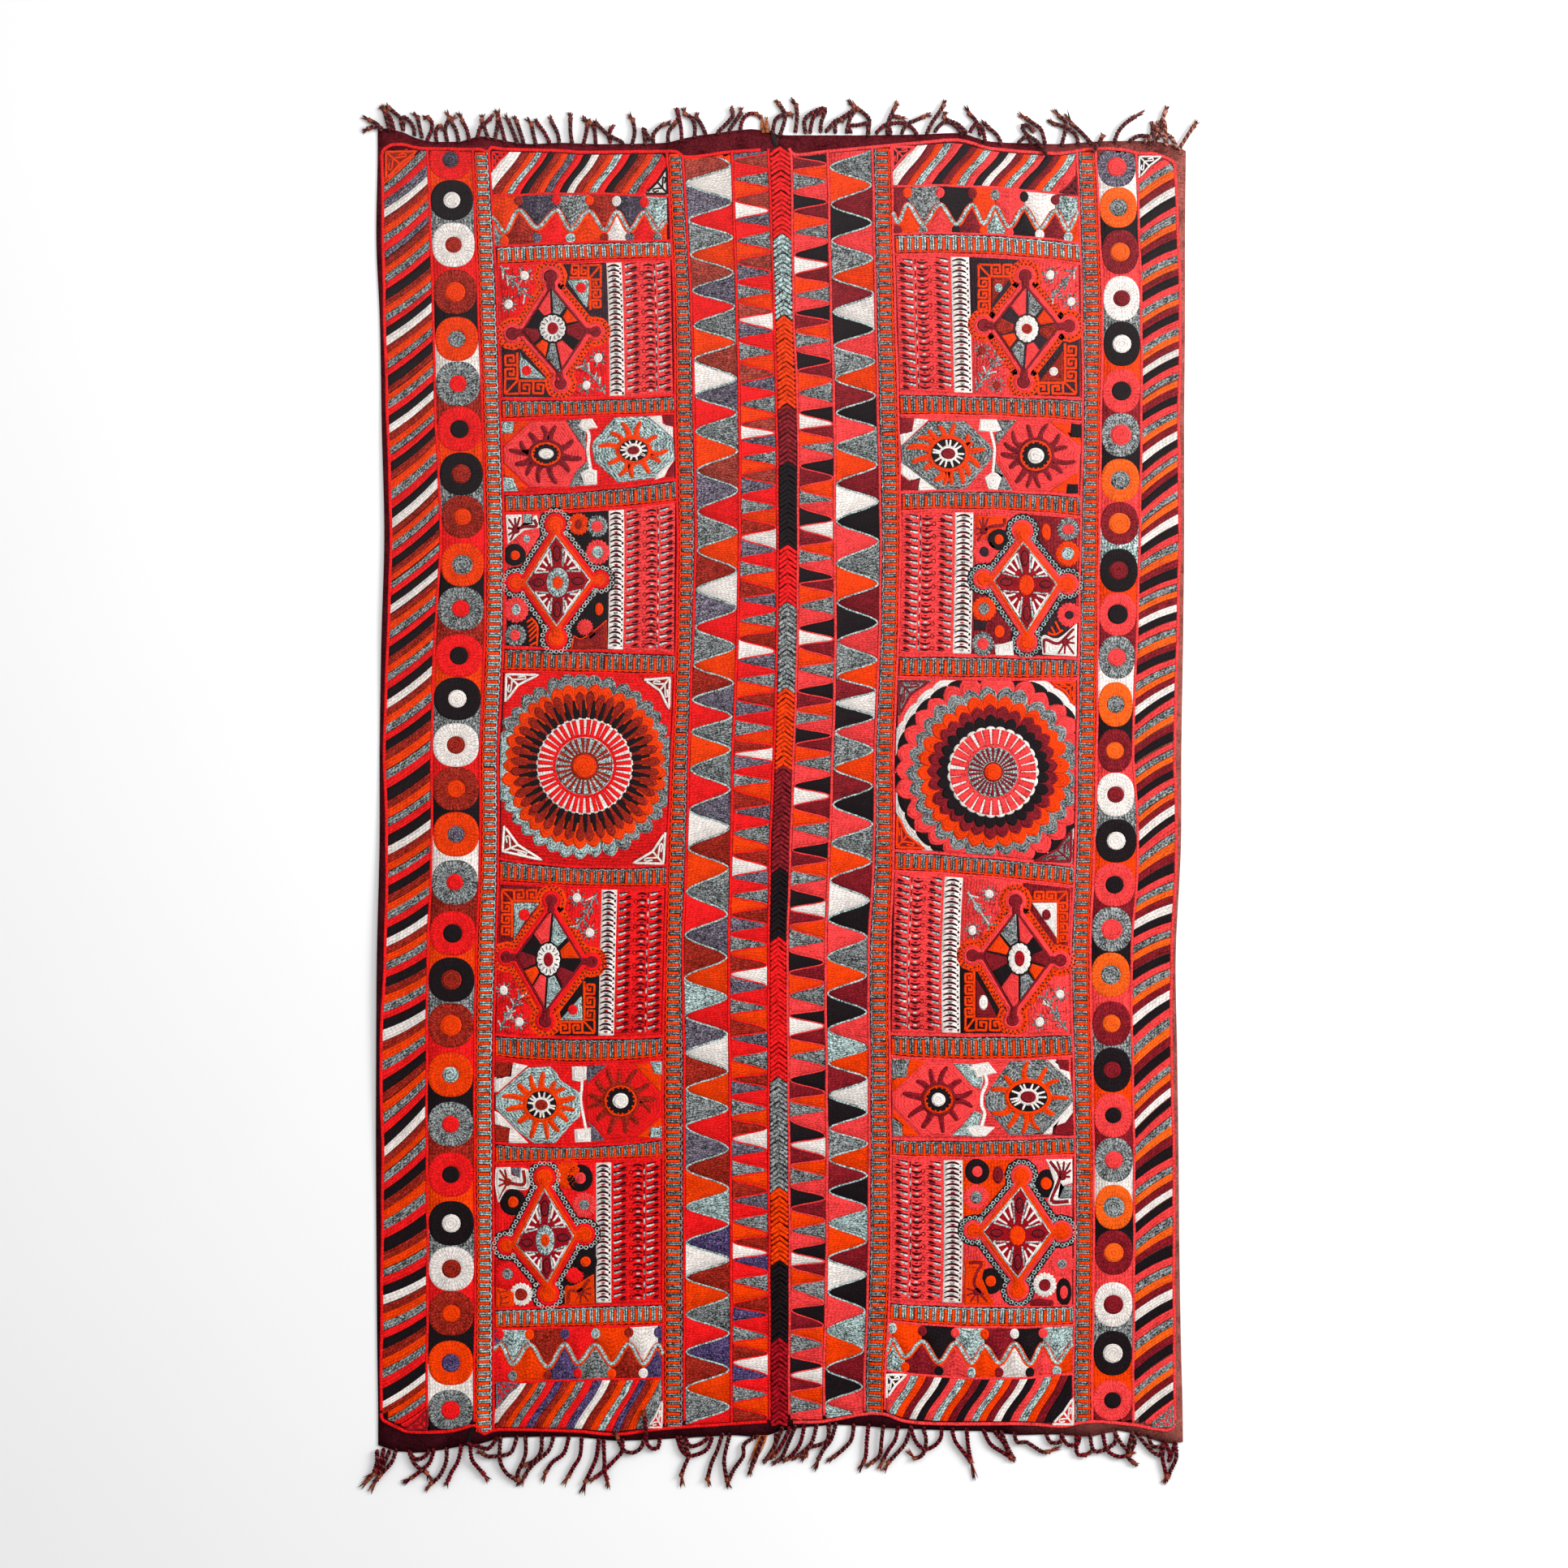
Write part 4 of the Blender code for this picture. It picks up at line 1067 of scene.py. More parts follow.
def sewSun(work, sun):
    centre = spots(sun["centre"])[0]
    rayYarn, ringX, ringY, kind, dotX, dotY, dotYarn = sun["parts"].split()
    ring, dot = np.array([float(ringX), float(ringY)]), np.array([float(dotX), float(dotY)])
    tips = spots(sun["tips"])
    for tip in tips:
        out = unit(tip - centre)
        root = centre + out * ring * 0.8
        width = np.array([12.0, 9.4, 7.6, 6.8, 6.4, 5.0, 2.4]) * (0.85 + 0.3 * chance.random())
        along = np.array([0, 0.2, 0.4, 0.6, 0.8, 0.93, 1.02])[:, None]
        bend = turned(out) * 3.0 * wobble() * np.sin(along * math.pi)
        work.addBand(root + (tip - root) * along + bend, width, rayYarn, lift=0.0014, rise=0.0009, rows=2)
    work.addPad(oval(centre, *(ring + 4.6), sides=30), rayYarn, lift=0.0015, rise=0.0009)
    work.addPad(oval(centre, *ring, sides=30), "black", lift=0.0017, rise=0.0009)
    if kind == "scallops":
        work.addRing(centre, ring + 1.2, ring - 1.8, "orange", lift=0.0023, rise=0.0007, lay="round")
    else:
        work.addPad(oval(centre, *(dot + 3.2), sides=22), "white", lift=0.0021, rise=0.0008)
    angles = np.linspace(0, 2 * math.pi, 14, endpoint=False) + 0.1 * wobble(14)
    for angle in angles:
        out = towards(angle)
        ends = (ring * 0.62 + dot * 0.38, ring - 0.6) if kind == "scallops" else (dot + 1, ring * 0.93)
        work.addBand(centre + out * np.linspace(*ends, 4), 2.6 if kind == "scallops" else np.linspace(3.4, 2.4, 4),
                     "orange" if kind == "scallops" else "white", lift=0.0024, rise=0.0007, rows=1, stitch=3)
    grow = 1.12 if kind == "scallops" else 1.0
    work.addPad(oval(centre, *(dot * grow), sides=18, uneven=0.03), dotYarn, lift=0.0026, rise=0.0008)


def entering(start, heading, centre, radius):
    # Where a line from start first comes within radius of centre
    away = start - centre
    along = away @ heading
    return start - heading * (along + math.sqrt(max(along ** 2 - away @ away + radius ** 2, 0)))


def diamondCorners(plan):
    centre = np.asarray(plan["centre"], float)
    *knobs, reach = spots(plan["knobs"]).T
    knobs = np.stack(knobs, axis=-1)
    out = knobs - centre
    return centre, knobs, reach, knobs - out / norm(out, axis=1)[:, None] * (reach + 2.5)[:, None]


def grownDiamond(centre, corners, grow):
    # The corners moved out so that each side moves out by grow
    moved = []
    for k in range(4):
        before, here, after = corners[k - 1], corners[k], corners[(k + 1) % 4]
        sideA, sideB = unit(here - before), unit(after - here)
        normalA, normalB = np.array([sideA[1], -sideA[0]]), np.array([sideB[1], -sideB[0]])
        if normalA @ (here - centre) < 0:
            normalA, normalB = -normalA, -normalB
        bisector = normalA + normalB
        moved.append(here + bisector / (bisector @ bisector) * 2 * grow)
    return np.array(moved)


def knobbedOutline(plan, grow, knobGrow):
    # Round the diamond and its four knobs
    centre, knobs, reach, corners = diamondCorners(plan)
    outer = grownDiamond(centre, corners, grow)
    path = []
    for k in range(4):
        before, after = outer[k - 1], outer[(k + 1) % 4]
        radius = reach[k] + knobGrow
        ends = []
        for other in (before, after):
            middle = (other + outer[k]) / 2
            heading = unit(outer[k] - middle)
            ends.append(entering(middle, heading, knobs[k], radius) - knobs[k])
        first, last = (math.atan2(end[1], end[0]) for end in ends)
        outward = math.atan2(*(knobs[k] - centre)[::-1])
        first = outward - (outward - first) % (2 * math.pi)
        last = outward + (last - outward) % (2 * math.pi)
        for angle in np.linspace(first, last, 14):
            path.append(knobs[k] + radius * towards(angle))
    return dense(np.array(path), 3.0)


def sewMedallion(work, plan, layers, loopYarn, loopGround):
    centre, knobs, reach, corners = diamondCorners(plan)
    path = knobbedOutline(plan, layers[0][1] + 3.6, layers[0][2] + 3.4)
    path = np.concatenate([path, path[:1]])
    work.addBand(path, 8.4, loopGround, lift=0.0011, rise=0.0006, rows=2, edgeShade=0.3)
    # at each knob's neck, where the band turns sharply, a round patch covers its fold
    steps = np.diff(path, axis=0)
    bends = steps[:-1, 0] * steps[1:, 1] - steps[:-1, 1] * steps[1:, 0]
    for bend, place in zip(bends * np.sign(np.median(bends)), path[1:-1]):
        if bend < -2.2:
            work.addPad(oval(place + (place - centre) * 0.03, 5.6, sides=16), loopGround, lift=0.0012, rise=0.0006)
    if loopGround == "orange":
        # small dark dots in two rows on the orange
        run = runOf(path)
        dots = []
        for number, place in enumerate(np.arange(1, run[-1], 2.7)):
            dot = np.array([np.interp(place, run, path[:, 0]), np.interp(place, run, path[:, 1])])
            out = unit(dot - centre)
            dot = dot + out * (2.0 if number % 2 else -1.6) + 0.3 * wobble(2)
            if all(norm(dot - other) > 2.9 for other in dots):
                dots.append(dot)
                work.addPad(oval(dot, 1.25, sides=6), loopYarn, lift=0.0017, rise=0.0004)
    else:
        sewLoops(work, path, loopYarn, size=3.2, step=6.2, lift=0.0015)
    for number, (yarn, grow, knobGrow) in enumerate(layers):
        lift = 0.0014 + 0.00016 * number
        if knobGrow is not None:
            for place, size, corner in zip(knobs, reach, corners):
                work.addPad(oval(place, size + knobGrow, sides=22), yarn, lift=lift, rise=0.0010)
                neck = np.linspace(place, corner + (centre - corner) * 0.08, 4)
                work.addBand(neck, size * 1.25 + knobGrow * 1.5, yarn, lift=lift + 0.00004, rise=0.0010)
        ground = dense(grownDiamond(centre, corners, grow), 5)
        work.addPad(ground, yarn, lift=lift + 0.00008, rise=0.0010, centre=centre)
    return centre, corners


def sewFlowerDiamond(work, side, plan):
    layers = ((panelRed[side], 9.3, 2.6), ("orange", 5.0, -1.2), ("aqua", 0.8, None), ("crimson", -0.9, None))
    centre, corners = sewMedallion(work, plan, layers, plan["loops"], "black")
    ring = np.array(plan["ring"], float)
    for k in range(4):
        a, b = corners[k], corners[(k + 1) % 4]
        a, b = centre + (a - centre) * 0.93, centre + (b - centre) * 0.93
        out = unit((a + b) / 2 - centre)
        root = centre + out * (ring + 1.0)
        aside = unit(b - a)
        for share, yarn, start in ((0.22, "aqua", 0.05), (0.78, "aqua", 0.05), (0.33, "white", 0.34),
                                   (0.5, "white", 0.40), (0.67, "white", 0.34)):
            end = a + (b - a) * share
            foot = root + aside * (share - 0.5) * 9
            work.addBand(np.linspace(foot + (end - foot) * start, end, 5),
                         2.4 if yarn == "aqua" else np.linspace(2.4, 3.8, 5), yarn, lift=0.0028, rise=0.0007, **oneRow)
        work.addBand(np.linspace(a + (b - a) * 0.24, a + (b - a) * 0.76, 7), 2.4, "white", lift=0.0029, rise=0.0007,
                     **oneRow)
        petal = centre + (corners[k] - centre) * 0.62
        width, tall = (4.0, 9.0) if k % 2 == 0 else (7.0, 4.0)
        work.addPad(oval(petal, width + 1.3, tall + 1.6, sides=18), "black", lift=0.0026, rise=0.0006)
        work.addPad(oval(petal, width, tall, sides=18), "maroon", lift=0.0028, rise=0.0007)
    ringYarn, dotYarn = plan["yarns"].split()
    work.addPad(oval(centre, *ring, sides=30, uneven=0.02), ringYarn, lift=0.0028, rise=0.0009, lay="spokes")
    if dotYarn != ringYarn:
        work.addPad(oval(centre, plan["dot"][0], plan["dot"][1], sides=18), dotYarn, lift=0.0034, rise=0.0009)


def sewKeysDiamond(work, side, plan):
    layers = ((plan.get("outline", "coral"), 6.6, 3.6), ("maroon", 1.8, -0.8), (plan["field"], -0.8, None))
    centre, corners = sewMedallion(work, plan, layers, "plum", "orange")
    ring = np.array(plan["ring"], float)
    sewPetals(work, centre, dense(grownDiamond(centre, corners, -1.4), 3), plan["petals"], ring + 1.4, 0.0023)
    work.addPad(lobed(centre, ring, 14, 1.6), "white", lift=0.0025, rise=0.0009, lay="spokes")
    for angle in np.linspace(0, 2 * math.pi, 14 if side == "left" else 0, endpoint=False):
        out = towards(angle) * ring
        work.addBand(np.linspace(centre + out * 0.56, centre + out * 0.90, 3), 2.2, "grey", lift=0.0032, rise=0.0005,
                     rows=1)
    work.addPad(oval(centre, plan["dot"][0], plan["dot"][1], sides=18, uneven=0.04), plan["dotYarn"], lift=0.0031,
                rise=0.0009)


def sewQuarters(work, side, above, below, left, right, middle, names):
    # The four corner grounds behind a diamond: top left, top right, bottom left, bottom right
    for number, yarn in enumerate(names.replace("crimson", panelRed[side]).split()):
        a, b = (left, middle[0]) if number % 2 == 0 else (middle[0], right)
        depth = np.linspace(0.012, middle[1], 14) if number < 2 else np.linspace(middle[1], 0.988, 14)
        work.addStrip(inBlock(side, above, below, a, depth), inBlock(side, above, below, b, depth), yarn, lift=0.0003,
                      rise=0.0010)


def sewHooks(work, corner, reach, thick, out):
    # A bent line with square hooks standing on its outer side: reach and thickness across and down, and outward signs
    def bar(path, width):
        work.addBand(path, width, "orange", lift=0.0012, rise=0.0008, **oneRow)

    for end in (corner - (out[0] * reach[0], 0), corner - (0, out[1] * reach[1])):
        bar(np.linspace(end, corner, 8), 3.6)
    hook = np.array([(0.92, 0.0), (0.94, 0.9), (0.16, 0.92), (0.12, 0.28), (0.62, 0.26), (0.62, 0.58), (0.42, 0.6)])
    for arm in (0, 1):
        height, length = thick[1 - arm] - 3.4, reach[arm] - 2
        count = max(2, int(round(length / 14)))
        along = np.array([out[0], 0.0]) if arm == 0 else np.array([0.0, out[1]])
        up = np.array([0.0, out[1]]) if arm == 0 else np.array([out[0], 0.0])
        for number in range(count):
            start = corner - along * (length - length * number / count)
            path = start + hook[:, :1] * (length / count - 1.6) * along + hook[:, 1:] * height * up
            bar(dense(path, 2.2)[:-2], 3.4)
    tip = corner + out * (thick[0] - 4.2, thick[1] - 4.2)
    for shift in ((1, -0.15), (-0.15, 1)):
        side = corner + out * np.array(shift) * (thick[0] - 4.6, thick[1] - 4.6)
        bar(np.linspace(side, tip, 6), 3.0)
    bar(np.linspace(corner, tip, 6), 3.0)


def sewSprig(work, sprig):
    # A branch between two star flowers, over short strokes of stitching: "its two ends, the flowers, their yarn"
    *marks, dotYarn = sprig.split()
    a, b, *places = spots(" ".join(marks))
    low, high = np.minimum(a, b), np.maximum(a, b)
    for _ in range(40):
        place = low + 2.5 + (high - low - 5) * chance.random(2)
        away = place - a
        heading = math.atan2(away[1], away[0]) + 0.5 * wobble()
        step = towards(heading) * (3.0 + 2.2 * chance.random())
        work.addBand(np.clip(np.array([place - step, place, place + step]), low + 0.6, high - 0.6), 1.1, "maroon",
                     lift=0.0011, rise=0.0004, rows=1, stitch=3)
    middle = (places[0] + places[1]) / 2
    far = a + (b - a) * 0.70

    def twig(path, width):
        yarn = "ash" if chance.random() < 0.25 else "grey"
        work.addBand(path, width * 1.25, yarn, lift=0.0015, rise=0.0006, edgeShade=0.2, **oneRow)

    stem = curve(np.array([a + (b - a) * 0.06, a + (middle - a) * 0.45, far]), 2.5)
    twig(stem, 2.2)
    run = np.linspace(0.15, 0.95, 5)
    for number, share in enumerate(run):
        spine = stem[int(share * (len(stem) - 1))]
        ahead = unit(b - a)
        for turn in (-0.75, 0.75):
            turn *= 1 + 0.25 * wobble()
            aside = np.array([ahead[0] * math.cos(turn) - ahead[1] * math.sin(turn),
                              ahead[0] * math.sin(turn) + ahead[1] * math.cos(turn)])
            reach = 8 + 5 * chance.random()
            tip = np.clip(spine + aside * reach, low + 1, high - 1)
            if min(norm(tip - place) for place in places) > 7:
                twig(np.linspace(spine, tip, 4), 1.9)
                if number % 2:
                    knee = spine + (tip - spine) * 0.5
                    twig(np.linspace(knee, np.clip(knee + ahead * 6, low + 1, high - 1), 3), 1.6)
    for place in places:
        for angle in np.linspace(0, 2 * math.pi, 12, endpoint=False) + 0.15 * wobble(12):
            out = towards(angle)
            work.addBand(np.linspace(place + out * 3.5, place + out * (9.6 + 2.0 * chance.random()), 3), 1.7, "grey",
                         lift=0.0014, rise=0.0006, rows=1)
        work.addPad(oval(place, 5.4, 5.8, sides=14, uneven=0.05), dotYarn, lift=0.0017, rise=0.0008)


def sewComb(work, spine, tips, yarn):
    spine, tips = spots(spine), spots(tips)
    paths = [curve(spine, 3)]
    for number, tip in enumerate(tips):
        share, run = (number + 0.5) / len(tips), np.linspace(0, 1, len(spine))
        root = np.array([np.interp(share, run, spine[:, 0]), np.interp(share, run, spine[:, 1])])
        paths.append(np.linspace(root, tip, 4))
    for path in paths:
        work.addBand(path, 2.6, yarn, lift=0.0017, rise=0.0008, **oneRow)


def sewWheel(work, side):
    plan = wheelWork[side]
    centre = np.asarray(plan["centre"], float)

    def kept(outline, inset=2.4):
        # inside the block
        a, b = lineX(side + "BlockA", outline[:, 1]) + inset, lineX(side + "BlockB", outline[:, 1]) - inset
        x = np.clip(outline[:, 0], a, b)
        share = np.clip((x - a) / (b - a), 0, 1)
        y = np.clip(outline[:, 1], rowY(side, "ladder4", share) + inset, rowY(side, "wheel", share) - inset)
        return paired(x, y)

    lift = 0.0003
    for entry in plan["rings"]:
        kind, yarn, *sizes = entry.split()
        sizes = [float(size) for size in sizes]
        lift += 0.00016
        if kind == "disc":
            radius, count, depth = sizes
            work.addPad(kept(lobed(centre, radius, int(count), depth)), yarn, lift=lift, rise=0.0012, centre=centre)
            continue
        count, inner, outer, *widths = sizes
        count = int(count)
        for angle in (np.arange(count) + (0 if kind == "spikes" else 0.5) + 0.07 * wobble(count)):
            angle *= 2 * math.pi / count
            out = towards(angle)
            aside = turned(out)
            if kind in ("spokes", "spikes"):
                bar = centre + out * np.linspace(inner, outer, 6)[:, None]
                work.addBand(bar, np.linspace(*widths, 6), yarn, lift=lift + 0.0011, rise=0.0007, **oneRow)
                continue
            # a petal with a pointed tip: shares of its length back from the tip in half widths
            half = widths[0]
            reach = outer * (1 + 0.012 * wobble())
            lens = half < 6
            back = np.array([0, 0.35, 0.8, 1.5, 2.2, 3.0] if lens else [0, 0.22, 0.55, 0.95, 1.35])
            wide = np.array([0.10, 0.50, 0.86, 1.0, 0.92, 0.55] if lens else [0.10, 0.48, 0.82, 0.99, 1.0])
            radii = np.concatenate([reach - back * half, [inner]])
            wide = np.concatenate([wide, [0.25 if lens else 0.7]])
            shape = paired(radii, wide * half)
            shape = np.concatenate([shape, shape[::-1] * (1, -1)])
            outline = centre + out * shape[:, :1] + aside * shape[:, 1:]
            shade = "aqua" if yarn == "grey" and side == "left" and 1.2 < angle < 3.6 else yarn
            inside = kept(outline)
            if norm(inside - outline, axis=1).max() < outer - inner - 6:
                work.addPad(dense(inside, 3.5), shade, lift=lift + 0.00003 * chance.random(), rise=0.0012)
    work.addPad(oval(centre, plan["dot"], sides=24), "orange", lift=lift + 0.0003, rise=0.0013)
    for corners, line, ground in plan["corners"]:
        sewTriangle(work, corners, line, ground, 0.24)


medallionWork = {
    ("left", "keys1"): {
        "centre": (681, 405), "knobs": "678.5,341,10 631.5,411.5,9.5 691,473,9 734,409,8",
        "field": "black", "ring": (16.4, 16.8), "dot": (7, 8), "dotYarn": "crimson",
        "petals": "-107:coral -78:grey -33:orange 4:maroon 67:coral 89:grey 116:orange 161:maroon",
        "quarters": "crimson plum plum crimson",
        "sprigs": ("614,324 664,382 646.5,339.7 626.8,375.3 white",
                   "748,489 704,432 737.3,441 722.4,475.3 white"),
        "hooks": "727.2,342.5 26,40 17.5,20 1,-1; 637.5,469.4 36,35 19.5,20.5 -1,1",
        "triangles": (("699,345 725,344 727,350 724,380 719,376 701,350", "aqua", "716 355 6.5 6.5 scarlet"),
                      ("641,434 644,440 674,468 641,466 640,452", "aqua", "649 457 6.2 6.2 scarlet")),
    },
    ("right", "keys1"): {
        "centre": (1265, 405.6), "knobs": "1263,340,9.5 1212,401,9.5 1261,471,9.5 1317,402,9.5",
        "field": "plum", "ring": (14.5, 17), "dot": (6.5, 6.5), "dotYarn": "rust",
        "petals": "-106:coral -73:grey -29:orange 6:rust 79:coral 110:grey 151:orange 183:rust",
        "quarters": "plum crimson crimson plum",
        "sprigs": ("1329,326 1281,386 1293.5,339 1319.5,372 white",
                   "1199,486 1244,420 1210,432 1228,475 rust"),
        "hooks": "1219,341 31,44 18,19 -1,-1; 1312,472 37,49 18,18 1,1",
        "triangles": (("1222,343 1245,343 1236,354 1222,375", "rust", "1230 355 5 5.6 aqua"),
                      ("1310,432 1310,471 1279,471", "rust", "1298 458 5.6 5.6 white")),
    },
    ("left", "keys2"): {
        "centre": (676, 1182), "knobs": "679.5,1109,8.5 624,1179,8.5 672,1258,9.5 729.5,1185,8.5",
        "field": "black", "outline": "scarlet", "ring": (14.5, 20.3), "dot": (6.2, 9.5), "dotYarn": "crimson",
        "petals": "-100:coral -70:aqua -22:orange 47:maroon 82:aqua 106:coral 137:orange 177:maroon",
        "quarters": "maroon crimson crimson black",
        "sprigs": ("738,1096 698,1166 711,1106 727,1149 white", "613,1275 655,1204 621,1220 640,1259 white"),
        "hooks": "631,1110 34,45 17,18 -1,-1; 720,1259 33,50 17,18 1,1",
        "triangles": (("633,1112 666,1112 650,1130 633,1158", "aqua", "646 1127 7 7.5 scarlet"),
                      ("717,1226 718,1257 690,1257", "aqua", "706 1244 6.3 6.5 scarlet")),
    },
    ("right", "keys2"): {
        "centre": (1256, 1181), "knobs": "1251,1110,10 1198,1177,9 1247.5,1256.5,9 1306.5,1183,9",
        "field": "black", "ring": (14.2, 19.5), "dot": (6.5, 10), "dotYarn": "crimson",
        "petals": "-108:grey -78:coral 0:maroon 35:orange 77:grey 103:coral 175:maroon -150:orange",
        "quarters": "crimson maroon black crimson",
        "sprigs": ("1189,1094 1232,1160 1218.5,1101.5 1198,1146 white",
                   "1318,1274 1272,1208 1306,1225 1281,1259 white"),
        "hooks": "1303,1110 32,53 16,15.5 1,-1; 1200,1255 36,59 15,19 -1,1",
        "triangles": (("1271,1112 1302,1112 1302,1156 1288,1136", "white", "1289 1127 5.6 7 maroon"),
                      ("1202,1204 1214,1224 1229,1254 1202,1254", "maroon", "1211.5 1235 5.6 9.5 white")),
    },
    ("left", "flower1"): {
        "centre": (687.4, 718), "knobs": "684.4,646,11.5 636,718,10 685.6,786,12 739.5,714,9.5",
        "ring": (13.5, 18), "dot": (6.7, 8.2), "yarns": "aqua orange", "loops": "ash",
        "quarters": "coral black black black",
        "discs": """649 664 13.5 13.5 coral 4.6 4.8 aqua f; 634.7 684.2 14 14 black 6 6.3 orange; 636 751.5 16.5 17
            coral 5.6 7 aqua f; 635.3 783 14.3 14.6 grey 6.6 6.6 coral f; 713 646 14 14.5 orange 5 7 rust f; 736 648.5
            14 14.5 grey 7 7 coral f; 736.5 680.6 15.6 16.5 coral 7 8 aqua f; 738.3 750.6 5.4 8 black 5.3 8 orange;
            720.7 773 11 11 coral 1.5 1.5 coral f""",
        "grounds": """white 623,634.5 643,634 643,646 657,646 657,636 662,634.5 665.5,650.5 646,654 625.5,671; aqua
            644.4,633.3 655.3,634 655.3,644.8 645,644.8; rust 707,784 717,787 748,764 748.5,799 704.5,800.5""",
        "hands": ("""636,653; 626.5,639 634.5,637.5 641,636.5 625.5,650.5 626,660 628.5,667; 658,640 661,648.5
                     647,649 637,652; maroon""",
                  """730,783; 745.5,779 745.5,788 742,795.5 733,797; 709,798 711,789 721,790 735,779 744,770;
                     maroon"""),
        "comb": """654,761 660.5,768 662.6,776 661.5,796; 649,767 650,773.5 651,779 652,785 652,790.5 653,795.5;
            orange""",
        "strokes": "orange 1.8 707,783.5 717,787 734,776 747.5,764.5; orange 1.8 707,783.5 704.8,799",
    },
    ("right", "flower1"): {
        "centre": (1264.5, 721), "knobs": "1259.5,654,11.5 1211.5,713.5,10.5 1265,791,11 1315.5,719.5,11",
        "ring": (9.7, 12.7), "dot": (4, 4), "yarns": "orange orange", "loops": "aqua",
        "quarters": "coral maroon maroon plum",
        "discs": """1230.6 665 13.5 13.5 black 6 6.2 orange; 1212.4 680 15.5 15.5 coral 6.3 6.7 plum f; 1288.8 655.3
            6 10.3 orange 6 10.3 orange; 1316 652.3 14.5 15 grey 7.9 6.4 coral f; 1315.4 682.6 16 16.5 orange 8.2 8.2
            aqua f; 1212.4 750.4 15.8 16 orange 6.9 8.2 grey f; 1231.8 777.7 15 15.5 maroon 6.3 7.5 orange f; 1211
            793.5 14.5 16 grey 7.5 7.5 coral f; 1317 757.7 15.5 16 coral 5.7 5.7 plum f""",
        "grounds": """orange 1201.5,635.5 1241,636.5 1241,648 1224,654 1204.5,668.5; plum 1199.7,763.7 1216.7,765
            1214,776.5 1199.7,776.5; white 1225,794 1236,793 1248,789 1249,808 1226,808; white 1284.5,784 1303,787.5
            1327,769 1326.3,809 1284.5,807""",
        "hands": ("""1212,654; 1205.8,639.5 1211,636.5 1217.3,637.7 1202.7,650.5 1203.3,659 1204.5,667;
                     1237.3,638.3 1236,647 1220.3,649.2 1213,654; maroon""",
                  """1312.4,791; 1324.5,783.7 1324.5,793 1323.3,806.7 1311.2,806.7 1303.3,806.2; 1285.7,805.6
                     1287,788.6 1304,792.8 1323.3,774; maroon"""),
        "comb": "1309.4,776.5 1300,782 1291,781; 1299.7,765.6 1294.8,772.2 1290.6,778.9; orange",
        "strokes": "white 2 1284.8,806 1284.8,784 1303,787.5 1326.8,769",
    },
    ("left", "flower2"): {
        "centre": (671.9, 1527.7), "knobs": "671,1450,12 624.2,1534.3,9.5 675.5,1593.7,12 720.3,1520.3,11",
        "ring": (11.7, 18.8), "dot": (5.6, 8), "yarns": "aqua orange", "loops": "ash",
        "quarters": "crimson crimson crimson black",
        "discs": """632.3 1480.7 16 16.5 black 6.8 7.2 orange; 625.7 1569.5 16 16.5 scarlet 7 7.2 grey f; 642.5
            1594.4 15 15 white 8 8 rust f; 700 1446 16 20 orange 2 2 orange f; 715 1451.4 16 17 black 7.3 7.6 coral;
            720.3 1484.4 16 16.5 coral 6.2 7 grey f; 721.7 1554 14.5 15 black 6.4 6.5 orange; 708 1571 12 11 scarlet 2
            2 scarlet f""",
        "grounds": """white 611,1438 629.5,1437.5 630,1447 641.5,1453.5 642.5,1438 650.5,1440 650.5,1464 625,1464.5
            614.5,1481 611,1461; slate 629.5,1437.5 642.5,1438 641.5,1452.5 630.5,1446; orange 611,1585 634,1592
            634,1609 611,1611; orange 697,1584 707,1584 732,1569.5 733,1607 697,1608.5""",
        "hands": ("""625.5,1456; 622,1440 615.5,1440.5 614,1452 614,1461.5 615.5,1477; 645,1441 645.5,1458.5
                     626,1457; rust""",
                  """716,1591; 729.5,1586 729.5,1595 726,1604 715,1606 706,1606; 700,1606 702,1590 714,1590
                     727,1575; rust"""),
        "comb": "614,1588 618,1600 616,1609; 626,1590 627,1597 628,1604; rust",
        "strokes": """orange 1.8 697,1607 697.5,1585 707,1584.5 732,1570; white 1.8 611.5,1440 611,1460 614.5,1480.5;
            white 1.8 614.5,1481 625,1464.5 650,1464 650.5,1441; orange 1.8 706,1606 711,1596; orange 1.8 722,1605
            719,1597""",
    },
    ("right", "flower2"): {
        "centre": (1253.5, 1522), "knobs": "1258.4,1448,11.5 1199,1515.3,10 1253.8,1588.8,12 1308,1516.8,11.5",
        "ring": (9.5, 12), "dot": (4, 4), "yarns": "orange orange", "loops": "aqua",
        "quarters": "orange coral coral coral",
        "discs": """1204 1443 15.5 15.5 black 7 7 coral; 1229.3 1447.2 6.7 11 maroon 6.6 11 maroon; 1202.5 1474.7
            16.5 17 coral 7.3 8.4 grey f; 1289 1458 13.5 18 black 7 8.4 orange; 1308.5 1556.6 16 16.5 coral 6 6 grey
            f; 1287 1582.7 15.5 16 white 7.7 7.7 maroon f; 1221 1578 15 16.5 black 7.2 7.2 orange; 1310.7 1591.8 10 17
            black 5 8.6 coral""",
        "grounds": """white 1289,1428 1321,1427.5 1321.5,1457 1309,1461 1303,1476 1320,1477 1319,1482 1293,1483
            1300,1460; grey 1311,1460.5 1321,1459 1320.5,1476 1304,1477.5; maroon 1269,1602 1280,1599 1298,1602
            1298,1609 1269,1609; orange 1188,1556 1192,1552 1213,1555 1210,1575 1224,1607 1188,1607; grey 1187,1560
            1203,1561 1200,1577 1189,1583""",
        "hands": ("""1309,1449; 1302,1430 1311,1430 1319,1431 1320,1441 1319,1450; 1293,1430 1305,1447 1303,1459
                     1296,1479 1317,1480; maroon""",
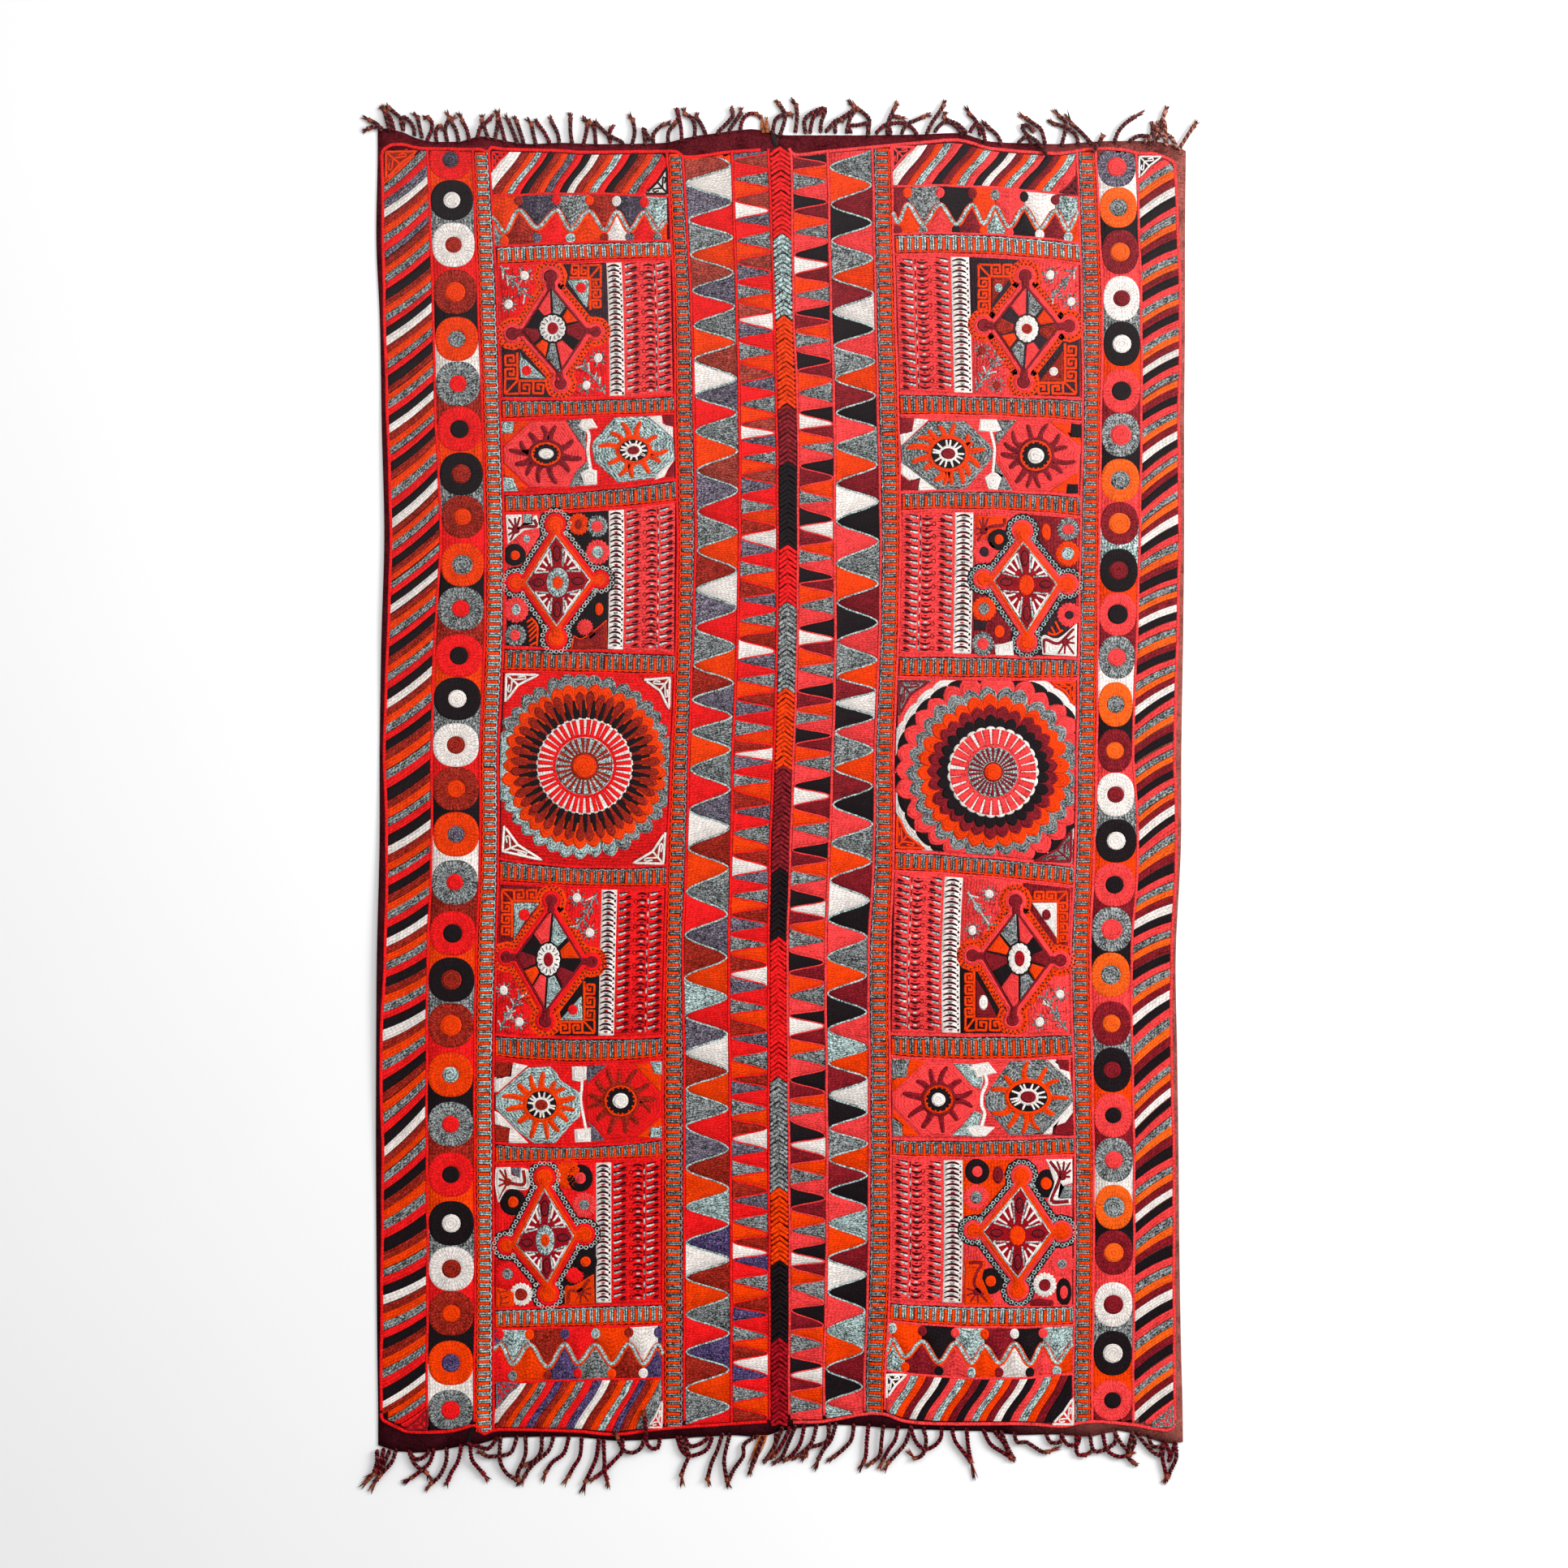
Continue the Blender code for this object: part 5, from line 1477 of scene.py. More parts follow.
                  """1204,1591; 1190,1587 1190,1596 1195,1604.5 1205,1605.5 1217,1604; 1193,1555.5 1209,1556.5
                     1203,1568 1200.5,1583 1212,1596; maroon"""),
        "strokes": """white 1.9 1289,1428 1300,1447 1299,1460 1293,1482.5 1319.5,1483; orange 1.9 1189,1556
            1192,1552.5 1213.5,1554.5 1208,1572 1207,1583 1223.5,1604 1222,1607 1189,1607""",
    },
}

sunWork = {
    ("left", "suns1"): {
        "patches": """orange 634,519.7 653.6,519 619.6,550 618,535 632,534; aqua 618,519.7 634.3,519.7 631.5,534.5
            618,534.5; orange 620,571 651,601.5 639,605.3 632.7,590 620,585; aqua 618,587 632.7,589.5 639,605.3
            618,606; grey 696.8,518 716,516.6 722,528 722,556 712,541; grey 723,568 727,577 721.5,598.5 701,600.5
            709,582; white 716.8,516.6 730,515.8 737,527.4 725,529 721,533 712,525; white 725,577 736,579.5 736,597.5
            720,599 715,582.5; white 797,512.8 815.6,512 816.4,522 829.5,526.6 829.5,540.5 812,525; maroon 814.8,511.3
            830.3,511.2 830.3,525 820.2,525; white 831,566.7 822.6,579 818.7,587.6 806,592 813,580; maroon 831,569
            831,587.6 820,588.4 825,576; coral 620,551 653.6,519 697,518 712,542 721.5,553 721.5,570 709,582 700,600.7
            653.6,601.5 621,571.4; aqua 729,551 731,543.6 757,514.3 797,512.7 829.5,539 831.5,566.7 811,589
            761.6,595.3 732.3,568.3""",
        "strokes": "white 4.4 721.5,527 725.8,537 724.5,556 728,580",
        "suns": (
            {"centre": "672.9,559.5", "parts": "maroon 17.5 13.6 scallops 8.5 6.3 white",
             "tips": """667.5,525 685.2,525 706,542.8 716.8,565.2 701.4,581.4 686,596 664.4,595.3 649,586 635,572
                 627.3,554.4 642,543.6 652,533.6"""},
            {"centre": "780.9,555.2", "parts": "orange 18 13.7 teeth 7.7 5.5 maroon",
             "tips": """766.2,521.2 789.4,519.7 810.2,537.4 823.3,554.4 814,569.8 800.2,583.7 780,589 762.4,586
                 748.5,571.4 737.7,550.5 752.3,533.6"""},
        ),
    },
    ("right", "suns1"): {
        "patches": """maroon 1107.8,514.6 1126,515.4 1123.7,531.3 1107.8,537; white 1126.9,515.4 1144.4,517
            1110,549.6 1108,536 1123.7,532; white 1110,569.6 1135,588.7 1155.6,604.6 1131,605.4 1134,588.7
            1120.5,592.7 1109.3,584; maroon 1109.3,585.5 1118.9,592.7 1134,590 1131,604.6 1108.6,604; white
            1207.4,516.2 1228,517 1235.3,531.3 1223.3,532.5 1205,531.3; white 1222.6,581 1236,585.5 1229,604.6
            1217.8,604 1212.2,588; grey 1228,517.8 1252.8,517.8 1228,548 1225,535 1235,531; grey 1225.7,567.2
            1248,605.5 1229,605.5 1236,585.5 1225,580; orange 1291.9,519.4 1318.2,521 1319,539 1331.8,540
            1332.6,551.2; black 1319.5,521.7 1333.4,523.3 1332.6,539.3 1318.2,538.5; orange 1329.4,580 1328.6,597.5
            1314.2,596.7 1313.4,607 1291.9,606.2; black 1315,595.9 1328.6,596.7 1328.6,608.6 1313.4,608.6; grey
            1110,549.6 1144.4,518.6 1189,518.6 1219.4,547.3 1224,557.6 1219.4,568.8 1190.7,602.3 1155.6,604.6
            1110,570.4; coral 1226.5,549.6 1252,517.8 1291,519.4 1332.6,549.6 1328.6,583 1292.7,605.5 1249.7,605.5
            1227.3,567.2""",
        "strokes": "white 3.8 1220,530 1224.6,548 1225,560 1223,584",
        "suns": (
            {"centre": "1168.3,559.2", "parts": "orange 21.5 18.8 teeth 9 7 maroon",
             "tips": """1156.4,525 1177,521.7 1192.3,535.3 1198.6,546.5 1213,553.6 1206.6,576.7 1194,586.3 1186,596.7
                 1172.3,597.5 1162,597.5 1150.8,592 1138.8,579 1123.7,569.6 1117.3,552 1131,540 1142.8,530.5"""},
            {"centre": "1276,561.6", "parts": "maroon 18.6 18 scallops 9.5 9 white",
             "tips": """1265.6,523.3 1291,522.5 1304.7,535.3 1315,551.2 1324.6,568.8 1308.7,583 1295,592 1281.5,601.5
                 1264.8,600.7 1251.3,595 1244,577.5 1233,559.2 1237,545.7 1248,531.3"""},
        ),
    },
    ("left", "suns2"): {
        "patches": """rust 610,1308 631,1308.8 630,1326.3 609.4,1327; white 632.5,1308.8 650.8,1312.8 614,1345.4
            608.6,1346.2 608.6,1327 630,1326.3; white 609.3,1368 615.7,1371.7 636.5,1393.3 651.6,1408.4 627,1408.4
            627,1389 610,1385; rust 608.6,1385.3 629.3,1389.3 627,1407 611,1407; white 704.2,1313.5 723.3,1313.5
            723.3,1330 715,1333 705,1331; white 707.4,1391 728.6,1389 728.6,1407 708.4,1407.5; slate 723.3,1313.5
            749,1311.2 722,1336 723.3,1331; slate 721.5,1379 733.7,1389.3 745.7,1405.2 728.6,1406 728.1,1389; orange
            780.8,1310.4 800.7,1310.4 806,1322 816.6,1325.5 816.6,1349.4; aqua 800.7,1307.2 816.6,1307.2 816.3,1324.7
            806,1322; orange 815.8,1375 816.6,1388 801,1389 800.7,1402 783,1402; aqua 801.5,1388.5 815.8,1387
            815.8,1402 800.7,1402; aqua 611,1349.4 650,1315 678,1313.5 686,1320.7 690.7,1330.3 715.4,1346.2 715.4,1375
            705,1384.5 684.3,1408.4 658.8,1409 638,1394 611,1366; scarlet 720,1337 746,1312 781,1310.5 816,1348
            816,1376 783,1402 746,1405 722,1380""",
        "strokes": "white 3.6 717.5,1330 716.6,1343 715.6,1354 718,1370 722,1391",
        "suns": (
            {"centre": "667.5,1361", "parts": "orange 19 17.5 teeth 8 6.8 rust",
             "tips": """670,1320.8 654,1324 638,1335 619,1351 623.7,1367 638,1383 654,1402 674.7,1403.6 689,1394
                 699.4,1382 708.2,1367.8 708.2,1351.8 696.3,1340.7 684.3,1332"""},
            {"centre": "764.8,1356", "parts": "rust 19 18.4 scallops 9 8.6 white",
             "tips": """748,1316.7 764,1317.5 784.7,1317.5 800.7,1334.3 807.9,1354.2 801.5,1370.2 787,1384.5
                 770.4,1395.7 749.7,1396.5 736,1380.5 725,1364.6 725.7,1347.8 735.3,1330.3"""},
        ),
    },
    ("right", "suns2"): {
        "patches": """orange 1120.6,1305 1141.4,1306.6 1100,1345.6 1097.4,1329 1115.7,1327.4; grey 1097.4,1304
            1121,1304.5 1117,1328 1098,1329; orange 1100,1366.3 1133,1399.5 1112.4,1399.5 1110.7,1383.7 1100,1377;
            grey 1099,1377 1110,1383.7 1112.4,1399.5 1100,1400.3; aqua 1174,1310 1198,1311 1212,1329 1209,1342
            1197,1338; aqua 1171,1400 1184,1388 1201,1368 1210,1372 1206,1388 1197,1400; white 1191,1317 1199,1311
            1217.6,1308.3 1228.4,1321.6 1216,1325 1203,1328.5 1200,1319; white 1188.6,1388.7 1203,1386 1226,1388.7
            1214.4,1400.3 1197.8,1400.8; white 1289,1305 1300.6,1305 1305.5,1316.6 1318,1320.7 1319.6,1333; maroon
            1300.6,1305 1317,1305.8 1317,1320 1305,1316.6; white 1322.5,1356 1322,1371.3 1313,1383 1297.2,1388
            1295.6,1397.8 1284,1398; maroon 1322,1369.6 1321.3,1400.3 1296.4,1398.7 1298,1389.5 1313,1382; coral
            1100,1347 1141,1308 1172,1309 1205.5,1345.6 1205.5,1360 1171,1400 1134,1399 1100,1365; grey 1213.5,1349.7
            1245,1305.8 1288,1305 1319.6,1331.5 1323,1358 1285.6,1397.8 1243.4,1398.7 1214.3,1363.8""",
        "strokes": "white 4.4 1213,1322 1215.5,1334 1210,1348 1209.5,1362 1213,1372 1209,1389",
        "suns": (
            {"centre": "1156.3,1354.4", "parts": "maroon 17.2 16.6 scallops 7.6 7.6 white",
             "tips": """1146.4,1316.6 1167,1314 1184.5,1330.7 1197.8,1344 1197.8,1363.8 1179.5,1380.4 1162,1395.4
                 1135.6,1389.5 1119,1376.3 1112.4,1346.4 1129,1331.5"""},
            {"centre": "1266.6,1351.4", "parts": "orange 24.5 18.2 teeth 10.3 7.5 maroon",
             "tips": """1266.6,1307.5 1289.8,1315 1304.7,1330.7 1317.2,1353 1299,1373 1280.7,1392 1260,1396
                 1241,1389.5 1222.6,1370.5 1221,1343 1237.6,1325"""},
        ),
    },
}

wheelWork = {
    # from the outside in. disc: yarn, radius, number and depth of its bumps; petals: yarn, number, inner and outer
    # radius, half width; spokes and spikes: yarn, number, inner and outer radius, inner and outer width
    "left": {
        "centre": (720.5, 944), "dot": 15,
        "rings": ("disc grey 100 37 1", "petals grey 37 86 114.5 9.9", "disc orange 92 37 1",
                  "petals orange 37 74 101.5 9.0", "disc black 71 40 1", "petals rust 40 58 93 5.9",
                  "spikes black 40 58 81.5 6.4 3.2", "disc white 60.5 40 1.0", "disc scarlet 40 40 0.2",
                  "spokes scarlet 40 37 57.5 4.6 5.6", "disc aqua 36 40 0.3", "spokes rust 25 16 34.4 2.6 4.2",
                  "disc rust 17.5 24 0.3"),
        "corners": (("621,868 622,829 667,830", "white", "rust"),
                    ("791,836 827,833 826,877", "white", "rust"),
                    ("619,1014 617,1050 672,1062", "white", "rust"),
                    ("822,1022 819,1066 777,1065", "white", "rust")),
    },
    "right": {
        "centre": (1223.4, 951.3), "dot": 11,
        "rings": ("disc white 130.5 30 3", "disc black 123 29 3", "disc coral 108 29 1",
                  "petals coral 29 90 120.5 13.4", "disc grey 94 29 1", "petals grey 29 79 106.5 11.6",
                  "disc orange 82 29 1", "petals orange 29 67 94.5 10.2", "disc maroon 70 29 1",
                  "petals maroon 29 60 82 8.9", "disc black 60 29 1", "petals black 29 50 70.5 7.3",
                  "disc white 57 27 3.6", "disc coral 35.5 27 0.3",
                  "spokes coral 27 33 53 6.6 9.6", "disc aqua 31.5 27 0.3", "spokes maroon 26 13 30 2.0 4.0",
                  "disc maroon 13 20 0.2"),
        "corners": (("1106,885 1106,837 1148,838", "maroon", "grey"),
                    ("1293,840 1325,840 1324,871", "orange", "maroon"),
                    ("1104,1001 1103,1046 1141,1047", "orange", "maroon"),
                    ("1322,1020 1321,1063 1270,1063", "maroon", "grey")),
    },
}


def sewPanelBlocks(work, medallions, side):
    for above, below in (("top", "stripes"), ("wave2", "stripes2")):
        sewSlants(work, side, above, below)
    for above, below in (("stripes", "wave"), ("ladder8", "wave2")):
        sewWave(work, side, above, below)
    for corners, line, ground in cornerWork[side]:
        sewTriangle(work, corners, line, ground)
    for above, below in (("ladder1", "keys1"), ("ladder3", "flower1"), ("ladder5", "keys2"), ("ladder7", "flower2")):
        sewLaceColumns(medallions, side, above, below)
        plan = medallionWork[side, below]
        laceLeft, laceRight = laceWork[side, above, below][1]
        left, right = (0.014, laceLeft) if side == "left" else (laceRight, 0.986)
        sample = inBlock(side, above, below, np.array([left, right]), 0.5)
        share = left + (right - left) * (plan["centre"][0] - sample[0, 0]) / (sample[1, 0] - sample[0, 0])
        topY, lowY = rowY(side, above, share), rowY(side, below, share)
        sewQuarters(medallions, side, above, below, left, right, (share, (plan["centre"][1] - topY) / (lowY - topY)),
                    plan["quarters"])
        if below.startswith("flower"):
            sewDiscs(medallions, plan["discs"])
            sewPatches(medallions, plan["grounds"], lift=0.0010)
            for palm, tips, arm, yarn in map(entriesOf, plan["hands"]):
                sewFingers(medallions, spots(palm)[0], tips, yarn)
                sewStrokes(medallions, yarn + " 5.4 " + arm)
            if "comb" in plan:
                sewComb(medallions, *entriesOf(plan["comb"]))
            sewStrokes(medallions, plan["strokes"])
            sewFlowerDiamond(medallions, side, plan)
        else:
            for sprig in plan["sprigs"]:
                sewSprig(medallions, sprig)
            for hook in entriesOf(plan["hooks"]):
                sewHooks(medallions, *spots(hook))
            for triangle, yarn, dot in plan["triangles"]:
                medallions.addPad(dense(spots(triangle), 4), yarn, lift=0.0011, rise=0.0009)
                *sizes, dotYarn = dot.split()
                x, y, halfX, halfY = (float(size) for size in sizes)
                medallions.addPad(oval((x, y), halfX, halfY, sides=16), dotYarn, lift=0.0018, rise=0.0008)
            sewKeysDiamond(medallions, side, plan)
    for above, below in (("ladder2", "suns1"), ("ladder6", "suns2")):
        plan = sunWork[side, below]
        sewBlockField(work, side, above, below, panelRed[side])
        sewPatches(work, plan["patches"], lift=0.0005)
        sewStrokes(work, plan["strokes"], lift=0.0014)
        for sun in plan["suns"]:
            sewSun(work, sun)
    sewBlockField(work, side, "ladder4", "wheel", panelRed[side])
    sewWheel(work, side)


# The two loom widths of cloth

clothWork = {
    # how many steps its mesh has each way, and where it lies before its places settle
    "across": 44, "along": 132, "head": 160, "length": 1610,
    # the cloth's two ends as x, y, and its long edges as x of the selvedge or join for each y
    "topEnd": spots("""464,157 485,160 499,164 511,170 529,175 572,175 581,170 594,168 610,171 628,175 654,178
        690,176 736,178 807,177 825,176 843,171 861,167 879,165 905,161 929,159 946,162 956,166 964,167 985,167
        1065,167 1136,166 1172,164 1190,165 1204,171 1215,175 1236,176 1307,178 1361,174 1423,174 1450,180 1462,187"""),
    "bottomEnd": spots("""462,1779 489,1788 516,1790 546,1786 576,1780 591,1779 617,1771 662,1770 709,1770 758,1775
        797,1774 833,1772 869,1770 904,1768 940,1771 957,1764 984,1759 1028,1755 1069,1757 1091,1759 1162,1762
        1209,1763 1254,1768 1298,1767 1343,1770 1379,1762 1405,1768 1437,1779 1460,1776"""),
    "sideHeights": numbers("150 190 300 390 520 660 800 920 1040 1180 1300 1420 1540 1660 1740 1795"),
    "leftSide": numbers("465.5 465.5 464 468 470.5 474 470 468 468 465 464 463.5 464 465 466 466"),
    "join": numbers("960 958 966 969 970.5 970.5 967 962 959 958 958 959 961 961 960 958"),
    "rightSide": numbers("1461.8 1461 1460 1460 1459 1459 1457.5 1455.5 1454.8 1448 1450 1452 1453 1455 1457 1457.5"),
    "gap": 0.2,
}


def clothEdge(name, y):
    return smoothed(y, clothWork["sideHeights"], clothWork[name])


def clothEnd(name, x):
    return np.interp(x, *clothWork[name].T)


def weaveCloth(side):
    across, along = clothWork["across"], clothWork["along"]
    share = np.linspace(0, 1, across + 1)[:, None]
    down = np.linspace(0, 1, along + 1)[None]
    y = clothWork["head"] + clothWork["length"] * down + 0 * share
    for _ in range(3):
        # the places settle between the cloth's four edges
        if side == "left":
            a, b = clothEdge("leftSide", y), clothEdge("join", y) - clothWork["gap"] / 2
        else:
            a, b = clothEdge("join", y) + clothWork["gap"] / 2, clothEdge("rightSide", y)
        x = a * (1 - share) + b * share
        y = clothEnd("topEnd", x) * (1 - down) + clothEnd("bottomEnd", x) * down
    points = paired(x, y)
    place = toMetres(points)
    height = floorUnder(points) + clothThick
    verts = np.concatenate([place, height[..., None]], axis=-1).reshape(-1, 3)
    index = np.arange(verts.shape[0]).reshape(across + 1, along + 1)
    faces = paired(index[:-1, :-1], index[:-1, 1:], index[1:, 1:], index[1:, :-1]).reshape(-1, 4)
    piece = addPiece("cloth" + side.capitalize(), verts, faces.tolist(), "weave",
                     place.reshape(-1, 2)[faces.ravel()], twillWool)
    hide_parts("panel_" + side)
    thick = piece.modifiers.new("thickness", "SOLIDIFY")
    thick.thickness = clothThick
    thick.offset = -1
    bpy.context.view_layer.objects.active = piece
    piece.select_set(True)
    bpy.ops.object.modifier_apply(modifier=thick.name)
    piece.select_set(False)
    return piece


# The braid that joins the panels

braidWork = {
    "first": 184, "last": 1752, "pitch": 5.9, "slant": 7.8, "yarnWidth": 5.3,
    # y where each coloured length ends
    "lengths": ((290, "scarlet"), (386, "aqua"), (497, "orange"), (570, "maroon"), (672, "black"), (745, "scarlet"),
                (848, "grey"), (945, "orange"), (1072, "maroon"), (1155, "black"), (1324, "scarlet"), (1461, "grey"),
                (1553, "orange"), (1649, "black"), (1760, "crimson")),
}


def sewBraid(work):
    plan = braidWork
    y = plan["first"]
    while y < plan["last"]:
        yarn = next(name for end, name in plan["lengths"] if y < end)
        middle = (lineX("leftSmall", y) + lineX("rightBraid", y)) / 2
        half = (lineX("rightBraid", y) - lineX("leftSmall", y)) / 2 - 1.6
        for arm in (-1, 1):
            stray = 0.5 * wobble(4)
            foot = min(y + plan["slant"] + stray[0], plan["last"] + 3)
            path = curve([(middle + arm * half, foot), (middle + arm * half * 0.5, y + plan["slant"] * 0.42 + stray[1]),
                          (middle - arm * 1.6, y - 1.2 + stray[2])], 2.6)
            work.addBand(path, np.linspace(plan["yarnWidth"] * 0.8, plan["yarnWidth"], len(path)), yarn,
                         lift=0.0016 + 0.0001 * arm, rise=0.0018, rows=1, stitch=7, edgeShade=0.95)
        y += plan["pitch"] * (1 + 0.06 * wobble())


# The fringe: two-ply cords, each with a knot and a frayed tuft

fringeWork = {
    "plyRadius": 1.62, "twist": 7.6, "sides": 5,
    # x, y of places along each cord from its root to its knot, then of its tuft's tip; a loop has both ends in
    # the cloth
    "top": {
        "left": """470,160 464,153 456,149 447,144; 470,158 461,157 455,159 447,163; 480,160 476,146 474,136 469,131;
            485,159 482,148 475,138 468,132; 497,158 497,150 488,141 480,134 475,130; loop 497,160 494,150 498,145
            505,150 510,158 511,166; 520,169 517,156 515,146 508,138; 527,172 532,161 532,151 528,146 521,145; 538,174
            537,163 540,157 543,156 547,162; 551,173 549,165 549,158 552,150 554,146 550,137; 565,174 562,161 557,152
            557,148 563,144; 578,172 575,160 570,150 565,138; 589,169 592,158 600,151 603,148 608,141; 601,170 597,158
            594,149 594,141; 610,172 613,156 614,147 614,136; 622,174 618,158 614,145 612,135; 637,176 632,163 627,150
            621,142; 645,176 641,163 637,151 634,143; 660,177 657,165 655,154 649,146; 677,176 670,163 663,154
            660,147; 689,176 687,165 680,151 677,143; 705,177 703,163 703,148 703,139; 719,178 722,166 724,153
            718,144; 734,177 733,164 731,156 727,152 725,147; 767,176 757,171 748,166 736,154 732,149; 752,175 750,168
            753,159 757,154; 779,178 782,164 780,149 774,141; loop 795,177 793,159 797,166 800,172; 805,176 805,166
            812,158 818,154 827,151; 823,175 824,163 832,152 836,147; 840,173 839,159 837,148 835,139 833,133; 856,168
            856,156 852,146 844,141 842,133; 869,165 864,154 858,145 860,139; 884,164 895,153 903,143 902,137 901,131;
            898,162 905,151 912,141 913,132; 912,160 915,148 923,141 932,141 938,146; 952,163 955,149 962,143 973,141
            978,144""",
        "right": """961,167 966,152 967,141 960,129 955,124; 980,162 982,144 981,131 975,122; loop 992,163 991,149
            998,141 1013,134 1017,137 1012,151 1011,162; 998,163 1000,152 1003,144 1013,138 1018,136; 1018,162
            1030,149 1037,149 1050,139; 1029,163 1030,152 1043,142 1052,136 1056,133; 1043,163 1047,147 1053,137
            1052,132 1045,124; 1069,166 1071,149 1065,141 1057,135 1048,126; loop 1048,163 1045,156 1057,155 1068,153
            1070,164; loop 1080,164 1088,156 1093,154 1110,152 1122,157 1129,165; 1097,165 1095,152 1098,142 1102,134
            1106,125; 1093,164 1094,152 1099,144 1107,145 1117,147; 1111,164 1117,154 1128,149 1137,145 1146,141;
            1142,164 1148,152 1157,139 1162,131 1165,124; 1190,164 1180,154 1168,149 1163,145 1165,138; loop 1185,165
            1173,153 1162,152 1152,162; 1207,166 1205,156 1200,147 1194,141 1190,131; loop 1213,175 1210,159 1202,154
            1195,163; 1233,177 1228,167 1218,158 1210,149; 1287,176 1282,160 1273,153 1265,147 1254,141; 1288,190
            1277,175 1265,167 1259,157 1265,155 1271,160 1274,164; loop 1255,176 1262,170 1267,170 1270,177; 1308,178
            1312,162 1312,150 1305,144 1298,135; 1328,178 1325,167 1315,159 1305,155 1298,153 1290,148; 1343,176
            1332,164 1320,153 1313,140; 1346,188 1351,181 1358,169 1360,166; 1373,174 1378,162 1387,152 1397,145
            1410,138; 1392,174 1403,168 1418,168 1420,157 1418,150; 1437,178 1433,167 1425,160 1426,150; 1418,178
            1427,169 1431,155 1430,148; 1436,176 1435,154 1432,147 1435,139 1439,131; loop 1448,181 1443,170 1433,166
            1420,168 1410,175; 1453,183 1460,172 1465,164 1470,157 1475,149""",
    },
    "bottom": {
        "left": """465,1788 465,1801 461,1815 446,1832; 480,1788 477,1795 469,1813 465,1822 456,1836; 473,1786
            470,1800 464,1812 452,1822; 488,1787 483,1801 468,1818 459,1828; 505,1789 512,1804 526,1814 532,1824;
            535,1786 530,1801 521,1810 508,1820 497,1827; loop 505,1788 512,1797 522,1795 529,1787; 551,1785 550,1801
            542,1818 532,1827 524,1836; 569,1781 565,1799 557,1813 553,1822 549,1831; 580,1779 582,1797 590,1808
            596,1815 602,1825; loop 578,1778 592,1782 602,1784 612,1772; 637,1771 630,1789 616,1793 602,1794 596,1791
            588,1788; 617,1772 616,1792 618,1804 625,1815 635,1822 642,1825; 648,1771 648,1790 643,1804 638,1815
            639,1822 639,1830; 668,1771 667,1787 659,1799 648,1804 639,1808; 682,1771 676,1787 660,1801 651,1811
            647,1818 642,1829; 701,1771 695,1790 681,1801 673,1813 669,1825; 717,1772 715,1793 707,1807 701,1818
            694,1828; 738,1774 735,1795 728,1812 722,1824 717,1839; 744,1775 745,1800 745,1812 748,1821 750,1835;
            767,1774 767,1787 756,1800 745,1811 735,1819 727,1825; 794,1772 790,1783 781,1789 770,1787 764,1778
            761,1769 756,1763; 813,1773 811,1783 803,1784 797,1777 796,1765 795,1750 794,1741 793,1736; loop 835,1771
            840,1786 849,1793 863,1790 872,1784 877,1772; loop 845,1772 851,1781 863,1778 872,1771; 838,1771 846,1785
            849,1793 844,1805 840,1816 841,1831; 890,1767 884,1786 877,1802 872,1821 875,1830; 899,1768 893,1793
            893,1807 896,1823 898,1833; 932,1769 917,1779 916,1793 905,1809 899,1821 896,1828; 940,1770 932,1793
            926,1808 922,1818; 956,1768 955,1779 946,1795 940,1803""",
        "right": """964,1759 957,1775 951,1789 945,1798; 973,1759 964,1778 954,1793 948,1798; 980,1757 971,1778
            964,1794 959,1799 951,1804; 991,1757 986,1778 976,1792 970,1797 964,1801; 1006,1756 1001,1775 993,1785
            985,1792 975,1798; 1021,1754 1020,1773 1008,1780 996,1783 993,1793 986,1799; 1030,1754 1024,1773 1015,1785
            1009,1796 1004,1811; 1052,1756 1049,1773 1039,1785 1028,1794 1018,1801; 1070,1756 1068,1775 1067,1792
            1064,1801 1058,1812; 1088,1757 1086,1775 1084,1792 1075,1801 1066,1806; 1106,1758 1103,1773 1095,1785
            1088,1798 1082,1811; 1122,1759 1115,1778 1106,1789 1095,1801 1089,1814; loop 1122,1758 1127,1773 1134,1782
            1141,1785 1152,1780 1159,1771 1160,1760; 1138,1760 1141,1773 1139,1787 1134,1794 1127,1796 1118,1787;
            1173,1761 1177,1775 1186,1787 1194,1797 1197,1803; 1191,1761 1193,1782 1196,1799 1201,1820; 1212,1762
            1220,1778 1234,1788 1245,1795 1251,1800; 1226,1764 1236,1776 1242,1788 1245,1795 1248,1799; 1234,1764
            1240,1779 1246,1792 1250,1797; 1250,1766 1253,1776 1264,1776 1271,1780 1284,1788 1291,1788 1306,1783; loop
            1289,1766 1294,1776 1306,1776 1308,1768; loop 1308,1768 1315,1779 1327,1779 1330,1769; 1326,1768 1327,1790
            1336,1792 1345,1788; loop 1343,1769 1347,1786 1359,1786 1373,1777 1374,1766; 1359,1767 1364,1786 1378,1794
            1391,1792 1399,1788; loop 1373,1763 1382,1779 1392,1786 1398,1776 1394,1767; 1395,1765 1390,1783 1390,1795
            1396,1801 1402,1806; loop 1401,1766 1413,1781 1420,1788 1429,1792 1432,1780; loop 1415,1769 1420,1781
            1433,1781 1434,1776; 1434,1777 1432,1795 1435,1809 1437,1818 1433,1827; 1448,1778 1449,1795 1442,1811
            1439,1819 1436,1826; loop 1436,1778 1441,1790 1440,1800 1447,1779""",
    },
    # loose orange wool beside the join, as its root and its tip
    "loose": {("top", "left"): "944,164 942,142", ("bottom", "left"): "941,1768 925,1806"},
}


def overCloth(places):
    # How far into the cloth a place lies, from its nearer end, in chart steps
    x, y = places[..., 0], places[..., 1]
    return np.minimum(y - clothEnd("topEnd", x), clothEnd("bottomEnd", x) - y)


